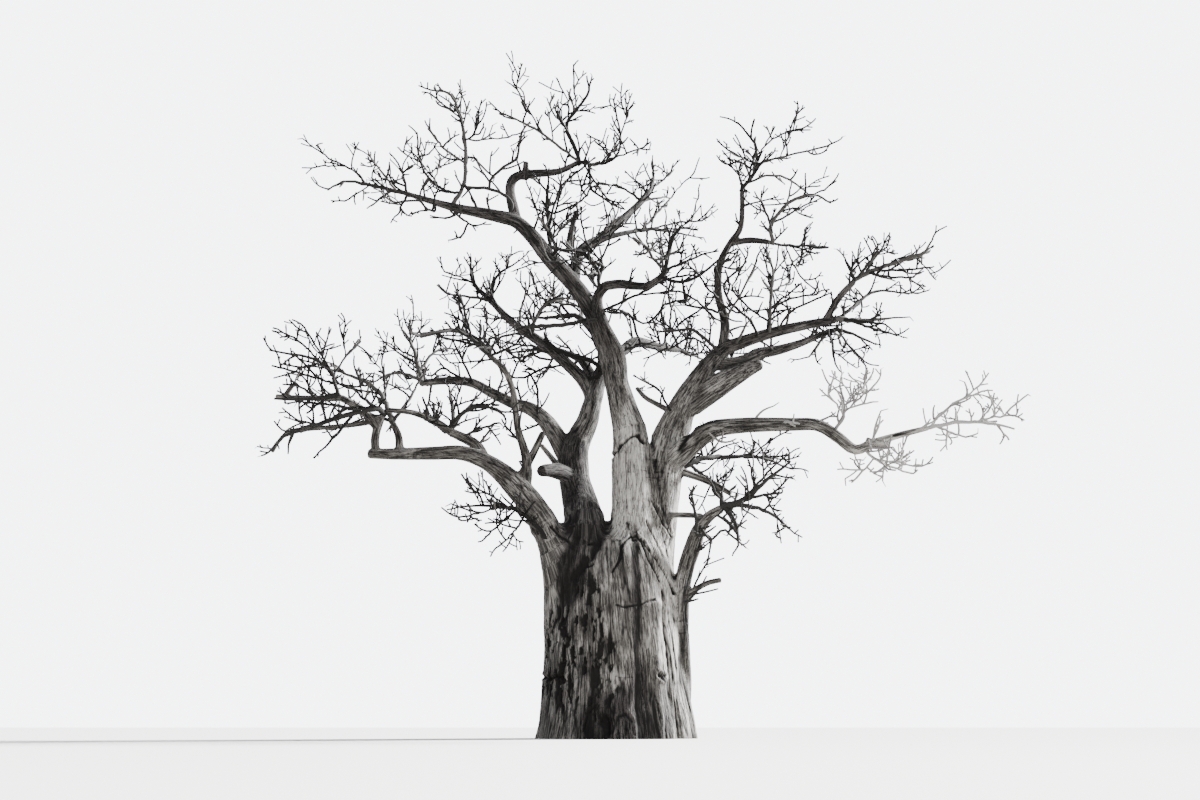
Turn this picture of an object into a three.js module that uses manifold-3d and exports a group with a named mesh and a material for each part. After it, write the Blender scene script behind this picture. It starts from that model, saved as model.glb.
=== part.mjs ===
// A bare baobab: a thick fluted trunk that forks into leaning stems, the boughs that
// spread from them, and a mass of twigs on each bough. Millimetres, +Z up, and the origin
// in the middle of the flat cut at ground level.

import * as THREE from "three";
import { mergeVertices } from "three/addons/utils/BufferGeometryUtils.js";
import Module from "manifold-3d";

const wasm = await Module();
wasm.setup();

// Clear space between two pieces that meet
const GAP = 0.3;

// Corners nearer than this are one corner
const MERGE_WITHIN = 1e-3;

// Two ways are taken as parallel when the sine of the angle between them is under this
const PARALLEL_SINE = 0.15;

// Body of the trunk: height, middle across and in depth, half width, half depth, and how
// far its folds stand out as a share of its radius
const TRUNK_LEVELS = [
  [0, 0, 0, 2160, 2130, 0.05],
  [450, 0, 0, 2080, 2030, 0.045],
  [1000, -20, 0, 2010, 1930, 0.04],
  [1900, -50, 0, 1920, 1840, 0.035],
  [3000, -110, 0, 1860, 1770, 0.03],
  [4000, -170, 0, 1820, 1670, 0.03],
  [4800, -210, 0, 1790, 1490, 0.02],
  [5350, -220, 20, 1540, 1200, 0.01],
  [5650, -230, 60, 1030, 790, 0],
];
const TRUNK_SIDES = 42;
const TRUNK_RINGS = 13;

// Folds round the trunk: how many there are in a turn, where they start, their weight
const TRUNK_FOLDS = [
  [5, 0.7, 0.6],
  [9, 2.1, 0.4],
];

// Furrows down the body of the trunk: their half width, and points of height, turn round
// the trunk in degrees, with the front at -90, and depth
const TRUNK_FURROWS = [
  {
    width: 330,
    line: [
      [2500, -141, 40],
      [3600, -133, 150],
      [4500, -117, 240],
      [5100, -104, 280],
      [5700, -95, 280],
    ],
  },
  {
    width: 190,
    line: [
      [0, -67, 160],
      [1000, -66, 110],
      [2500, -66, 60],
      [4600, -66, 40],
    ],
  },
  {
    width: 190,
    line: [
      [0, -35, 100],
      [1700, -37, 80],
      [4200, -37, 70],
    ],
  },
  {
    width: 200,
    line: [
      [0, -99, 110],
      [1000, -97, 70],
      [4000, -88, 50],
    ],
  },
  {
    width: 230,
    line: [
      [0, -128, 130],
      [1500, -130, 60],
    ],
  },
  {
    width: 230,
    line: [
      [0, 12, 120],
      [2500, 18, 90],
      [5000, 25, 60],
    ],
  },
  {
    width: 230,
    line: [
      [0, 62, 140],
      [2000, 55, 100],
      [4800, 60, 80],
    ],
  },
  {
    width: 240,
    line: [
      [0, 112, 130],
      [3000, 105, 110],
      [5400, 95, 120],
    ],
  },
  {
    width: 230,
    line: [
      [0, 158, 140],
      [2200, 162, 90],
      [4600, 150, 70],
    ],
  },
  {
    width: 210,
    line: [
      [0, -165, 110],
      [2000, -168, 80],
      [4000, -172, 40],
    ],
  },
];

// Stems that leave the body of the trunk, up to the flat face where a bough goes on:
// points x, y, z and the diameter there
const TRUNK_STEMS = {
  west: [
    [-1000, -300, 3900, 1900],
    [-1500, -450, 4900, 1200],
    [-1850, -600, 5500, 880],
    [-2100, -800, 6000, 770],
  ],
  back: [
    [-500, 400, 4000, 1900],
    [-750, 650, 5200, 1400],
    [-900, 800, 6000, 1020],
    [-1050, 950, 6600, 930],
  ],
  middle: [
    [250, -300, 3900, 2000],
    [440, -250, 5200, 1450],
    [500, -200, 6500, 1180],
    [500, -200, 7600, 1100],
    [480, -200, 8400, 1020],
  ],
  east: [
    [700, 100, 3900, 1900],
    [1080, 200, 5300, 1380],
    [1250, 250, 6500, 1200],
    [1400, 300, 7500, 1160],
    [1600, 300, 8400, 1020],
  ],
};
const STEM_SIDES = 10;

// Boughs. "meets" names the trunk's stem or the bough whose end face it goes on from;
// otherwise its foot is sunk in "on" and cut to fit it. Points x, y, z and the diameter
const BOUGHS = {
  west_bough: {
    meets: "west",
    line: [
      [-2100, -800, 6000, 760],
      [-2700, -1100, 6700, 640],
      [-3300, -1400, 7200, 470],
      [-4100, -1800, 7500, 380],
      [-5300, -2200, 7400, 310],
      [-6500, -2700, 7300, 210],
    ],
  },
  west_riser: {
    on: "west_bough",
    line: [
      [-6340, -2630, 7320, 190],
      [-6380, -2600, 7800, 190],
      [-6260, -2480, 8350, 170],
    ],
  },
  west_riser_inner: {
    on: "west_bough",
    line: [
      [-5750, -2390, 7370, 190],
      [-5800, -2330, 7850, 170],
      [-6000, -2180, 8250, 150],
    ],
  },
  west_far_bough: {
    on: "west_riser",
    line: [
      [-6360, -2570, 8050, 180],
      [-6800, -2550, 8550, 180],
      [-7300, -2800, 8800, 160],
    ],
  },
  west_upper_bough: {
    on: "west_bough",
    line: [
      [-3500, -1450, 7250, 280],
      [-3800, -1450, 7800, 250],
      [-4500, -1550, 8150, 200],
    ],
  },
  front_bough: {
    on: "west_bough",
    line: [
      [-2500, -950, 6550, 260],
      [-2400, -1250, 7300, 220],
      [-2650, -1900, 8200, 170],
      [-2800, -2700, 9300, 140],
      [-3300, -3300, 9800, 120],
    ],
  },
  west_stem: {
    meets: "back",
    line: [
      [-1050, 950, 6600, 920],
      [-1200, 1150, 7800, 900],
      [-1050, 1250, 8500, 740],
      [-750, 1350, 9200, 600],
      [-550, 1500, 10100, 500],
      [-300, 1900, 11000, 380],
    ],
  },
  west_back_bough: {
    on: "west_stem",
    line: [
      [-1300, 1150, 7900, 620],
      [-1800, 1500, 8850, 520],
      [-2400, 2000, 9600, 390],
      [-3300, 2500, 10050, 310],
      [-4600, 3200, 10850, 250],
      [-6000, 3900, 11000, 190],
    ],
  },
  west_high_bough: {
    on: "west_stem",
    line: [
      [-620, 1450, 9700, 420],
      [-950, 1600, 10500, 340],
      [-2100, 2100, 11700, 280],
      [-3100, 2400, 12500, 220],
      [-3800, 2700, 13300, 160],
    ],
  },
  back_west_bough: {
    on: "west_stem",
    line: [
      [-490, 1580, 10250, 300],
      [-900, 2700, 11300, 250],
      [-1200, 3700, 11800, 200],
      [-1800, 4600, 12300, 140],
    ],
  },
  back_high_bough: {
    meets: "west_stem",
    line: [
      [-300, 1900, 11000, 360],
      [-400, 2500, 12000, 260],
      [-1000, 3500, 13000, 170],
    ],
  },
  middle_stem: {
    meets: "middle",
    line: [
      [480, -200, 8400, 1010],
      [250, -250, 9200, 800],
      [0, -300, 10100, 650],
      [-300, -400, 11200, 530],
      [-900, -600, 12400, 470],
      [-1900, -800, 13500, 440],
    ],
  },
  crown_west_bough: {
    meets: "middle_stem",
    line: [
      [-1900, -800, 13500, 430],
      [-2700, -1000, 14450, 360],
      [-3600, -1200, 14670, 300],
      [-4700, -1350, 14850, 200],
      [-5900, -1550, 15150, 120],
    ],
  },
  crown_top_bough: {
    on: "crown_west_bough",
    line: [
      [-2850, -1000, 14600, 300],
      [-3050, -900, 15700, 240],
      [-2700, -800, 16100, 220],
      [-1800, -800, 16150, 170],
      [-1100, -700, 16500, 130],
    ],
  },
  crown_back_bough: {
    on: "middle_stem",
    line: [
      [-1150, -650, 12700, 270],
      [-1000, 0, 14000, 230],
      [-400, 700, 14700, 190],
      [200, 1400, 15500, 160],
      [900, 2200, 16500, 130],
    ],
  },
  crown_east_bough: {
    on: "crown_back_bough",
    line: [
      [-1020, -50, 13900, 150],
      [-200, 200, 14500, 140],
      [700, 900, 15000, 120],
    ],
  },
  west_stub: {
    on: "west_stem",
    line: [
      [-1150, 1050, 7300, 460],
      [-1600, 400, 7430, 430],
      [-2000, -150, 7350, 330],
    ],
  },
  inner_stem: {
    on: "middle_stem",
    line: [
      [150, -280, 9700, 520],
      [50, -600, 10700, 480],
      [-300, -850, 11300, 360],
      [-500, -1000, 12100, 270],
      [-250, -1200, 12500, 250],
    ],
  },
  front_bough_east: {
    meets: "inner_stem",
    line: [
      [-250, -1200, 12500, 240],
      [300, -1800, 12350, 210],
      [800, -2400, 12050, 180],
      [1200, -3000, 12100, 140],
    ],
  },
  back_bough: {
    on: "middle_stem",
    line: [
      [-150, -330, 10700, 300],
      [300, 700, 11150, 300],
      [700, 1700, 11700, 280],
      [1400, 3200, 12000, 210],
      [2200, 4700, 12300, 130],
    ],
  },
  east_stem: {
    meets: "east",
    line: [
      [1600, 300, 8400, 1010],
      [2100, 200, 9500, 740],
      [3000, 100, 10800, 430],
      [3800, 0, 11200, 320],
      [5000, 100, 11600, 260],
      [6500, 100, 11900, 180],
    ],
  },
  east_rise_bough: {
    on: "east_stem",
    line: [
      [3150, 100, 10900, 270],
      [3250, -50, 11900, 230],
      [3000, -400, 12800, 190],
      [3200, -750, 13700, 170],
      [3600, -950, 14150, 150],
      [3700, -1200, 14700, 130],
      [3700, -1400, 15300, 120],
    ],
  },
  east_crook_bough: {
    on: "east_rise_bough",
    line: [
      [3420, -840, 13930, 150],
      [3950, -900, 14000, 150],
      [4500, -1000, 13900, 120],
    ],
  },
  east_far_bough: {
    on: "east_stem",
    line: [
      [6200, 120, 11850, 180],
      [6600, -100, 12500, 170],
      [7000, -400, 12900, 150],
    ],
  },
  east_back_bough: {
    on: "east_stem",
    line: [
      [2900, 150, 10550, 340],
      [3700, 300, 10650, 330],
      [4300, 550, 11000, 320],
      [5200, 800, 11250, 220],
      [6500, 1300, 11900, 140],
    ],
  },
  broken_bough: {
    on: "east_stem",
    line: [
      [2200, 200, 9300, 680],
      [2900, 50, 9800, 680],
      [3600, -250, 10170, 520],
      [4200, -500, 10370, 250],
    ],
  },
  low_east_bough: {
    on: "trunk",
    line: [
      [1500, 150, 7500, 640],
      [2350, -650, 8150, 550],
      [3000, -1050, 8400, 450],
      [4500, -1800, 8300, 330],
      [5600, -2400, 8100, 290],
      [6300, -2550, 7450, 250],
      [7100, -2650, 7700, 180],
      [8300, -2700, 8000, 110],
    ],
  },
  side_stem: {
    on: "trunk",
    line: [
      [1800, -100, 500, 420],
      [1880, -250, 1900, 400],
      [1800, -350, 3200, 400],
      [1900, -400, 4300, 430],
      [2170, -470, 5150, 460],
      [2450, -600, 5800, 330],
      [2950, -800, 6150, 210],
    ],
  },
};
const BOUGH_SIDES = 8;
const SLIM_BOUGH_SIDES = 6;
const SLIM_BOUGH_DIAMETER = 320;
const BOUGH_RING_SPACING = 750;

// Twigs. A mass's stem meets the end of its bough, or its foot is sunk in "on". Each
// leader leaves the stem (0) or an earlier leader (its number) at a share of its length,
// and runs through the points that follow to its tip
const MASSES = {
  west_outer_twigs: {
    meets: "west_far_bough",
    stem: [
      [-7900, -3050, 8700],
      [-8900, -3500, 8600],
    ],
    leaders: [
      [0, 0.08, [-7500, -3200, 9200], [-7700, -3400, 9600], [-9000, -3900, 9800]],
      [1, 0.4, [-8200, -3100, 10100], [-8700, -2800, 10500]],
      [1, 0.25, [-8400, -2750, 9450], [-9300, -2400, 9800]],
      [1, 0.35, [-7350, -2800, 9800], [-7000, -2000, 10600]],
      [1, 0.5, [-8100, -4000, 10400]],
      [0, 0.6, [-8300, -4200, 8900]],
    ],
  },
  west_hub_twigs: {
    meets: "west_riser",
    stem: [
      [-6500, -3050, 8400],
      [-7500, -3500, 7950],
      [-8300, -3900, 7600],
      [-8700, -4400, 7000],
    ],
    leaders: [
      [0, 0.55, [-8200, -4900, 7400]],
      [0, 0.45, [-7700, -3100, 7300]],
      [0, 0.3, [-6700, -3900, 8700]],
    ],
  },
  west_inner_twigs: {
    meets: "west_riser_inner",
    stem: [
      [-6300, -2000, 9000],
      [-7000, -1800, 9600],
      [-8000, -1400, 10000],
    ],
    leaders: [
      [0, 0.05, [-5700, -1700, 9000], [-5500, -900, 9800]],
      [0, 0.1, [-7200, -1700, 8750], [-8900, -1200, 9100]],
      [0, 0.4, [-6600, -500, 10100]],
      [0, 0.65, [-7700, -600, 9700]],
    ],
  },
  west_upper_twigs: {
    meets: "west_upper_bough",
    stem: [
      [-5100, -1600, 8500],
      [-5700, -1500, 8700],
    ],
    leaders: [
      [0, 0.05, [-4500, -1300, 8800], [-4700, -600, 9700]],
      [0, 0.15, [-3900, -2100, 8700], [-2900, -2800, 8400]],
      [0, 0.5, [-5000, -2800, 8200]],
      [0, 0.6, [-5400, -900, 9300]],
    ],
  },
  front_west_twigs: {
    meets: "front_bough",
    stem: [
      [-3900, -3900, 10200],
      [-4300, -4300, 10200],
      [-5000, -5100, 9800],
    ],
    leaders: [
      [0, 0.3, [-4600, -3400, 10300]],
      [0, 0.4, [-3900, -4900, 10700]],
      [0, 0.1, [-3200, -4400, 9700], [-3400, -5500, 9400]],
      [0, 0.05, [-2600, -4000, 9900]],
    ],
  },
  low_west_twigs: {
    on: "trunk",
    diameter: 150,
    stem: [
      [-1850, -900, 5300],
      [-2350, -1350, 5800],
      [-2900, -1750, 6050],
      [-3900, -2700, 5900],
    ],
    leaders: [
      [0, 0.6, [-3600, -1600, 6500]],
      [0, 0.7, [-4000, -3400, 5500]],
      [0, 0.55, [-3400, -2600, 5100]],
      [0, 0.4, [-2700, -2500, 5200]],
    ],
  },
  west_back_twigs: {
    meets: "west_back_bough",
    stem: [
      [-6300, 4200, 11600],
      [-6500, 4500, 12300],
      [-7100, 5000, 13300],
    ],
    leaders: [
      [0, 0.1, [-7000, 4700, 11600], [-7900, 5300, 11400]],
      [0, 0.4, [-5900, 5300, 12500], [-5300, 6300, 12800]],
      [0, 0.5, [-7300, 4000, 12300]],
      [0, 0.7, [-7000, 6100, 13700]],
      [0, 0.05, [-6100, 5400, 11300]],
    ],
  },
  west_high_twigs: {
    meets: "west_high_bough",
    stem: [
      [-4400, 2900, 14000],
      [-4600, 3400, 15000],
    ],
    leaders: [
      [0, 0.2, [-5200, 2500, 13500]],
      [0, 0.6, [-5500, 3700, 14700]],
      [0, 0.1, [-3700, 2400, 14000], [-3000, 2000, 14400]],
      [0, 0.3, [-4400, 4200, 14300]],
    ],
  },
  west_side_twigs: {
    on: "west_high_bough",
    diameter: 110,
    stem: [
      [-2500, 2250, 12050],
      [-2350, 1850, 12600],
      [-1800, 1500, 13000],
      [-1000, 1300, 12900],
    ],
    leaders: [
      [0, 0.4, [-2800, 1400, 13400]],
      [0, 0.25, [-2900, 2900, 12900], [-3900, 3500, 13000]],
      [0, 0.5, [-1900, 2700, 13600]],
    ],
  },
  back_west_twigs: {
    meets: "back_west_bough",
    stem: [
      [-2500, 5300, 12500],
      [-3400, 6000, 12600],
    ],
    leaders: [
      [0, 0.2, [-2200, 5600, 11800]],
      [0, 0.5, [-3600, 6900, 13200]],
      [0, 0.3, [-2300, 6700, 12900]],
      [0, 0.4, [-3300, 4900, 12100]],
    ],
  },
  back_high_twigs: {
    meets: "back_high_bough",
    stem: [
      [-1500, 4000, 13300],
      [-2200, 4600, 13400],
      [-2900, 5300, 13600],
    ],
    leaders: [
      [0, 0.1, [-1000, 4700, 13900], [-1400, 6000, 14600]],
      [0, 0.5, [-2300, 5900, 14400]],
      [0, 0.4, [-2300, 3900, 14300]],
    ],
  },
  crown_west_twigs: {
    meets: "crown_west_bough",
    stem: [
      [-6700, -1700, 15300],
      [-7500, -1900, 15400],
      [-8100, -2200, 15000],
    ],
    leaders: [
      [0, 0.6, [-7400, -1700, 15800], [-8200, -1400, 16200], [-8700, -1200, 16800]],
      [0, 0.3, [-6800, -2700, 15700]],
      [0, 0.1, [-6100, -2500, 15700]],
      [0, 0.35, [-7000, -700, 15300]],
      [0, 0.08, [-6300, -900, 14800]],
    ],
  },
  crown_rise_twigs: {
    on: "crown_west_bough",
    diameter: 140,
    stem: [
      [-4700, -1350, 14820],
      [-4350, -1450, 15500],
      [-4300, -1600, 16300],
      [-4400, -1900, 17200],
      [-4700, -2100, 18000],
      [-5300, -2200, 18100],
    ],
    leaders: [
      [0, 0.13, [-5000, -1100, 15500], [-5700, -700, 16400], [-5900, -500, 17600]],
      [0, 0.35, [-4900, -2000, 16400], [-5100, -2900, 16400]],
      [0, 0.5, [-3800, -2500, 16600]],
      [0, 0.7, [-4500, -1200, 17900]],
      [1, 0.4, [-5600, 200, 16600]],
    ],
  },
  crown_top_twigs: {
    meets: "crown_top_bough",
    stem: [
      [-1300, -800, 17300],
      [-1400, -900, 17800],
      [-800, -1000, 18500],
      [-800, -1000, 19200],
    ],
    leaders: [
      [0, 0.15, [-1800, -900, 17100], [-2400, -1000, 17500], [-3400, -1000, 18000]],
      [1, 0.5, [-2600, -1400, 18000], [-2900, -1800, 18500]],
      [0, 0.05, [-500, -500, 16600], [200, -400, 17000], [0, -400, 18700]],
      [3, 0.6, [500, -1200, 18100]],
      [3, 0.35, [900, -1400, 16700]],
      [3, 0.45, [100, 600, 17800]],
      [0, 0.35, [-1700, -2000, 17600]],
      [0, 0.55, [-1300, 0, 19300]],
      [3, 0.1, [-600, -1300, 15700], [-200, -1800, 14900]],
    ],
  },
  crown_inner_twigs: {
    on: "middle_stem",
    diameter: 120,
    stem: [
      [-1650, -750, 13250],
      [-1900, -350, 14300],
      [-2000, -300, 15500],
    ],
    leaders: [
      [0, 0.5, [-1500, -1800, 15200]],
      [0, 0.45, [-1300, 300, 15300]],
      [0, 0.4, [-1200, -1400, 14500]],
      [0, 0.6, [-2400, 700, 15700]],
    ],
  },
  crown_back_twigs: {
    meets: "crown_back_bough",
    stem: [
      [1300, 2800, 17400],
      [1300, 3500, 18400],
    ],
    leaders: [
      [0, 0.5, [2000, 4200, 18400]],
      [0, 0.2, [1800, 3400, 17200]],
      [0, 0.1, [200, 3000, 17400]],
      [0, 0.6, [900, 4600, 18000]],
    ],
  },
  crown_east_twigs: {
    meets: "crown_east_bough",
    stem: [
      [1400, 1600, 15300],
      [2300, 2500, 15500],
    ],
    leaders: [
      [0, 0.5, [2500, 2300, 15900], [3100, 2700, 16200]],
      [0, 0.3, [1600, 2500, 16500], [2000, 3200, 17200]],
      [0, 0.6, [2400, 1500, 15300]],
      [0, 0.4, [1200, 2700, 15000]],
    ],
  },
  front_east_twigs: {
    meets: "front_bough_east",
    stem: [
      [1400, -3600, 12300],
      [1500, -4200, 12700],
      [1700, -5000, 12800],
    ],
    leaders: [
      [0, 0.1, [2000, -3900, 11700], [2700, -4800, 12000]],
      [0, 0.35, [900, -4300, 12300], [500, -5200, 12500]],
      [0, 0.5, [1100, -5700, 11700]],
      [0, 0.3, [2300, -3400, 12600]],
    ],
  },
  front_inner_twigs: {
    on: "inner_stem",
    diameter: 120,
    stem: [
      [-400, -1100, 12300],
      [-600, -1600, 13100],
      [-1500, -2300, 13200],
    ],
    leaders: [
      [0, 0.3, [-900, -3000, 12500]],
      [0, 0.5, [-900, -3300, 13500]],
      [0, 0.6, [-1900, -3200, 12500]],
      [0, 0.35, [-100, -2500, 13500]],
    ],
  },
  back_twigs: {
    meets: "back_bough",
    stem: [
      [2700, 5600, 12400],
      [3200, 6800, 12600],
    ],
    leaders: [
      [0, 0.1, [1900, 5000, 13500], [2200, 5700, 14500]],
      [0, 0.4, [2700, 6800, 13900]],
      [0, 0.6, [2700, 7800, 13200]],
      [0, 0.2, [1000, 6200, 12900]],
      [0, 0.5, [4100, 6000, 12600]],
    ],
  },
  east_top_twigs: {
    meets: "east_rise_bough",
    stem: [
      [4000, -1600, 15700],
      [4100, -2000, 16300],
      [3500, -2400, 17000],
    ],
    leaders: [
      [0, 0.55, [4600, -2400, 15900], [5900, -3400, 15800]],
      [0, 0.3, [4700, -1500, 15800], [5600, -1000, 15500]],
      [0, 0.65, [4600, -2300, 16600], [5300, -2800, 16600]],
      [0, 0.1, [3700, -600, 16300]],
      [0, 0.35, [3900, -3100, 15700]],
      [0, 0.6, [3100, -1600, 16700]],
    ],
  },
  east_crook_twigs: {
    meets: "east_crook_bough",
    stem: [
      [4600, -1500, 14500],
      [5400, -2200, 14900],
      [6000, -2700, 14400],
    ],
    leaders: [
      [0, 0.06, [5200, -1000, 13800], [6200, -1100, 13700]],
      [1, 0.35, [5300, -500, 13200], [6000, 300, 12900]],
      [0, 0.4, [5600, -900, 15100]],
      [0, 0.3, [4100, -2400, 14600]],
      [1, 0.4, [5600, -2200, 13100]],
    ],
  },
  east_twigs: {
    meets: "east_stem",
    stem: [
      [7200, 200, 11900],
      [8300, 200, 12000],
    ],
    leaders: [
      [0, 0.15, [7200, 500, 12500], [7900, 1000, 13100], [9100, 1600, 13200]],
      [0, 0.3, [7800, -700, 11500]],
      [1, 0.5, [7500, 1900, 12900]],
      [0, 0.45, [8500, 1000, 11700]],
    ],
  },
  east_far_twigs: {
    meets: "east_far_bough",
    stem: [
      [7700, -700, 13200],
      [8700, -1200, 13400],
      [9100, -1500, 13800],
    ],
    leaders: [
      [0, 0.4, [9200, -500, 13300]],
      [0, 0.35, [8300, -2200, 12400]],
      [0, 0.2, [7400, -1900, 13300]],
      [0, 0.3, [7900, 0, 14000]],
      [0, 0.1, [6600, -1300, 13300]],
    ],
  },
  east_riser_twigs: {
    on: "east_stem",
    diameter: 120,
    stem: [
      [4500, 60, 11450],
      [4650, 400, 12200],
      [4700, 900, 13200],
      [4700, 1300, 14200],
    ],
    leaders: [
      [0, 0.25, [4900, -500, 12300], [5700, -1600, 12100]],
      [0, 0.2, [4100, 800, 12500], [3700, 1700, 13300], [3900, 2300, 14000]],
      [0, 0.4, [5500, -300, 12900]],
      [0, 0.6, [5500, 1900, 13700]],
    ],
  },
  east_back_twigs: {
    meets: "east_back_bough",
    stem: [
      [7000, 1500, 12000],
      [8100, 2000, 11700],
    ],
    leaders: [
      [0, 0.15, [6700, 1400, 10900]],
      [0, 0.5, [7900, 2700, 11200]],
      [0, 0.3, [7200, 3000, 12000]],
      [0, 0.05, [6000, 2000, 11300]],
    ],
  },
  low_east_tip_twigs: {
    meets: "low_east_bough",
    stem: [
      [9100, -2800, 8100],
      [9800, -2900, 8100],
      [10500, -3000, 7900],
    ],
    leaders: [
      [0, 0.1, [8800, -3200, 8500], [9400, -3700, 8700]],
      [0, 0.25, [9500, -2000, 7900]],
      [0, 0.6, [10300, -3700, 8100]],
      [0, 0.5, [10300, -2200, 8300]],
    ],
  },
  low_east_upper_twigs: {
    on: "low_east_bough",
    diameter: 100,
    stem: [
      [5850, -2470, 7950],
      [6100, -2700, 8450],
      [6100, -2200, 9300],
    ],
    leaders: [
      [0, 0.45, [6700, -3400, 8900]],
      [0, 0.5, [6900, -2300, 8800]],
      [0, 0.4, [5600, -3200, 8800]],
    ],
  },
  low_east_under_twigs: {
    on: "low_east_bough",
    diameter: 90,
    stem: [
      [6600, -2600, 7500],
      [7100, -2200, 7150],
      [8100, -1500, 7000],
    ],
    leaders: [
      [0, 0.4, [8000, -2500, 7000]],
      [0, 0.3, [7100, -3100, 6800]],
      [0, 0.35, [6500, -1900, 6800]],
      [0, 0.5, [7500, -1000, 7400]],
    ],
  },
  side_twigs: {
    meets: "side_stem",
    stem: [
      [3400, -1000, 6250],
      [3900, -1500, 6600],
      [4700, -2200, 7200],
    ],
    leaders: [
      [0, 0.2, [4000, -1000, 6100], [4800, -800, 5600]],
      [0, 0.1, [3300, -1300, 5600], [3300, -1600, 5000]],
      [0, 0.05, [3000, -500, 6700]],
      [0, 0.5, [4400, -2400, 6300]],
      [0, 0.55, [4400, -1000, 7300]],
    ],
  },
  back_east_twigs: {
    on: "trunk",
    diameter: 210,
    stem: [
      [1500, 500, 7100],
      [2200, 1000, 7800],
      [3000, 1500, 8000],
      [4100, 2200, 8300],
      [5500, 3000, 8000],
    ],
    leaders: [
      [0, 0.25, [2800, 1700, 7400], [3500, 2600, 7200]],
      [0, 0.7, [5500, 4000, 8500]],
      [0, 0.6, [5200, 1900, 8200]],
      [0, 0.45, [3200, 2300, 8700]],
      [1, 0.4, [3300, 1700, 6700]],
    ],
  },
};
const TWIG_SIDES = 3;
const TWIG_TIP_DIAMETER = 38;

// A leader is this much thinner than the twig that it leaves, and a side twig still more
const LEADER_THINNING = 0.72;
const SIDE_THINNING = 0.62;

// A mass's stem runs straight on from its bough for this share of its diameter
const LEAD_IN = 0.8;

// A twig bends off its line by up to this share of its length at each joint
const TWIG_KINK = 0.05;

// Side twigs: their spacing along a leader and the stretch of it that bears them, their
// length as a share of the leader's, how that changes towards its tip, and its bounds
const SIDE_SPACING = 1800;
const SIDE_STRETCH = [0.3, 0.95];
const SIDE_LENGTH = [0.3, 0.5];
const SIDE_SHORTENING = [1.2, 0.7];
const SIDE_BOUNDS = [350, 950];

// Their angle to the leader in degrees, how strongly they set out upwards and go on
// rising, and the turn round the leader from each to the next, in radians
const SIDE_ANGLE = [42, 70];
const SIDE_LIFT = 0.3;
const SIDE_RISE = 0.1;
const GOLDEN_TURN = 2.39996;

// A twig keeps at least this far from every limb and from another mass's twigs
const TWIG_CLEARANCE = 40;

const BARK = new THREE.Color(0x6f6a65);
const TWIG_BARK = new THREE.Color(0x4a4643);

// Random shares from 0 to 1, the same in each run for the same name
function stream(name) {
  let state = 2166136261;
  for (const letter of name) {
    state = Math.imul(state ^ letter.charCodeAt(0), 16777619);
  }
  return () => {
    state = (state + 0x6d2b79f5) | 0;
    let mix = Math.imul(state ^ (state >>> 15), 1 | state);
    mix = (mix + Math.imul(mix ^ (mix >>> 7), 61 | mix)) ^ mix;
    return ((mix ^ (mix >>> 14)) >>> 0) / 4294967296;
  };
}

const between = ([low, high], share) => low + (high - low) * share;
const vector = ([x, y, z]) => new THREE.Vector3(x, y, z);

// The value at a share of the way through a row of numbers, on a smooth curve
function smooth(values, share) {
  const spans = values.length - 1;
  const span = Math.min(Math.floor(share * spans), spans - 1);
  const t = share * spans - span;
  const p1 = values[span];
  const p2 = values[span + 1];
  const p0 = span > 0 ? values[span - 1] : 2 * p1 - p2;
  const p3 = span + 2 < values.length ? values[span + 2] : 2 * p2 - p1;
  const bend = (2 * p0 - 5 * p1 + 4 * p2 - p3) * t * t;
  const twist = (3 * p1 - p0 - 3 * p2 + p3) * t * t * t;
  return 0.5 * (2 * p1 + (p2 - p0) * t + bend + twist);
}

// Stations along a smooth curve through the points: where each is, and its radius
function stationsAlong(line, count) {
  const column = (axis) => line.map((point) => point[axis]);
  return Array.from({ length: count + 1 }, (_, i) => ({
    at: vector([0, 1, 2].map((axis) => smooth(column(axis), i / count))),
    radius: smooth(column(3), i / count) / 2,
  }));
}

const lengthOf = (line) =>
  line.slice(1).reduce((sum, point, i) => sum + vector(point).distanceTo(vector(line[i])), 0);

const directionAt = (stations, i) =>
  stations[Math.min(i + 1, stations.length - 1)].at
    .clone()
    .sub(stations[Math.max(i - 1, 0)].at)
    .normalize();

// A closed skin over rings of equally many points, each end closed with a fan round its
// middle, or drawn to a point where the last ring is a single point
function skin(rings) {
  const sides = rings[0].length;
  const points = rings.flat();
  const faces = [];
  const middle = (ring) =>
    ring.reduce((sum, p) => sum.add(p), new THREE.Vector3()).divideScalar(ring.length);
  const foot = points.push(middle(rings[0])) - 1;
  for (let i = 0; i < sides; i += 1) faces.push(foot, (i + 1) % sides, i);
  let low = 0;
  for (const ring of rings.slice(1)) {
    const high = low + sides;
    for (let i = 0; i < sides; i += 1) {
      const next = (i + 1) % sides;
      if (ring.length === 1) {
        faces.push(low + i, low + next, high);
      } else {
        faces.push(low + i, low + next, high + next, low + i, high + next, high + i);
      }
    }
    low = high;
  }
  if (rings.at(-1).length > 1) {
    const tip = points.push(middle(rings.at(-1))) - 1;
    for (let i = 0; i < sides; i += 1) faces.push(low + i, low + ((i + 1) % sides), tip);
  }
  const geometry = new THREE.BufferGeometry().setFromPoints(points);
  return geometry.setIndex(faces);
}

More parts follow.
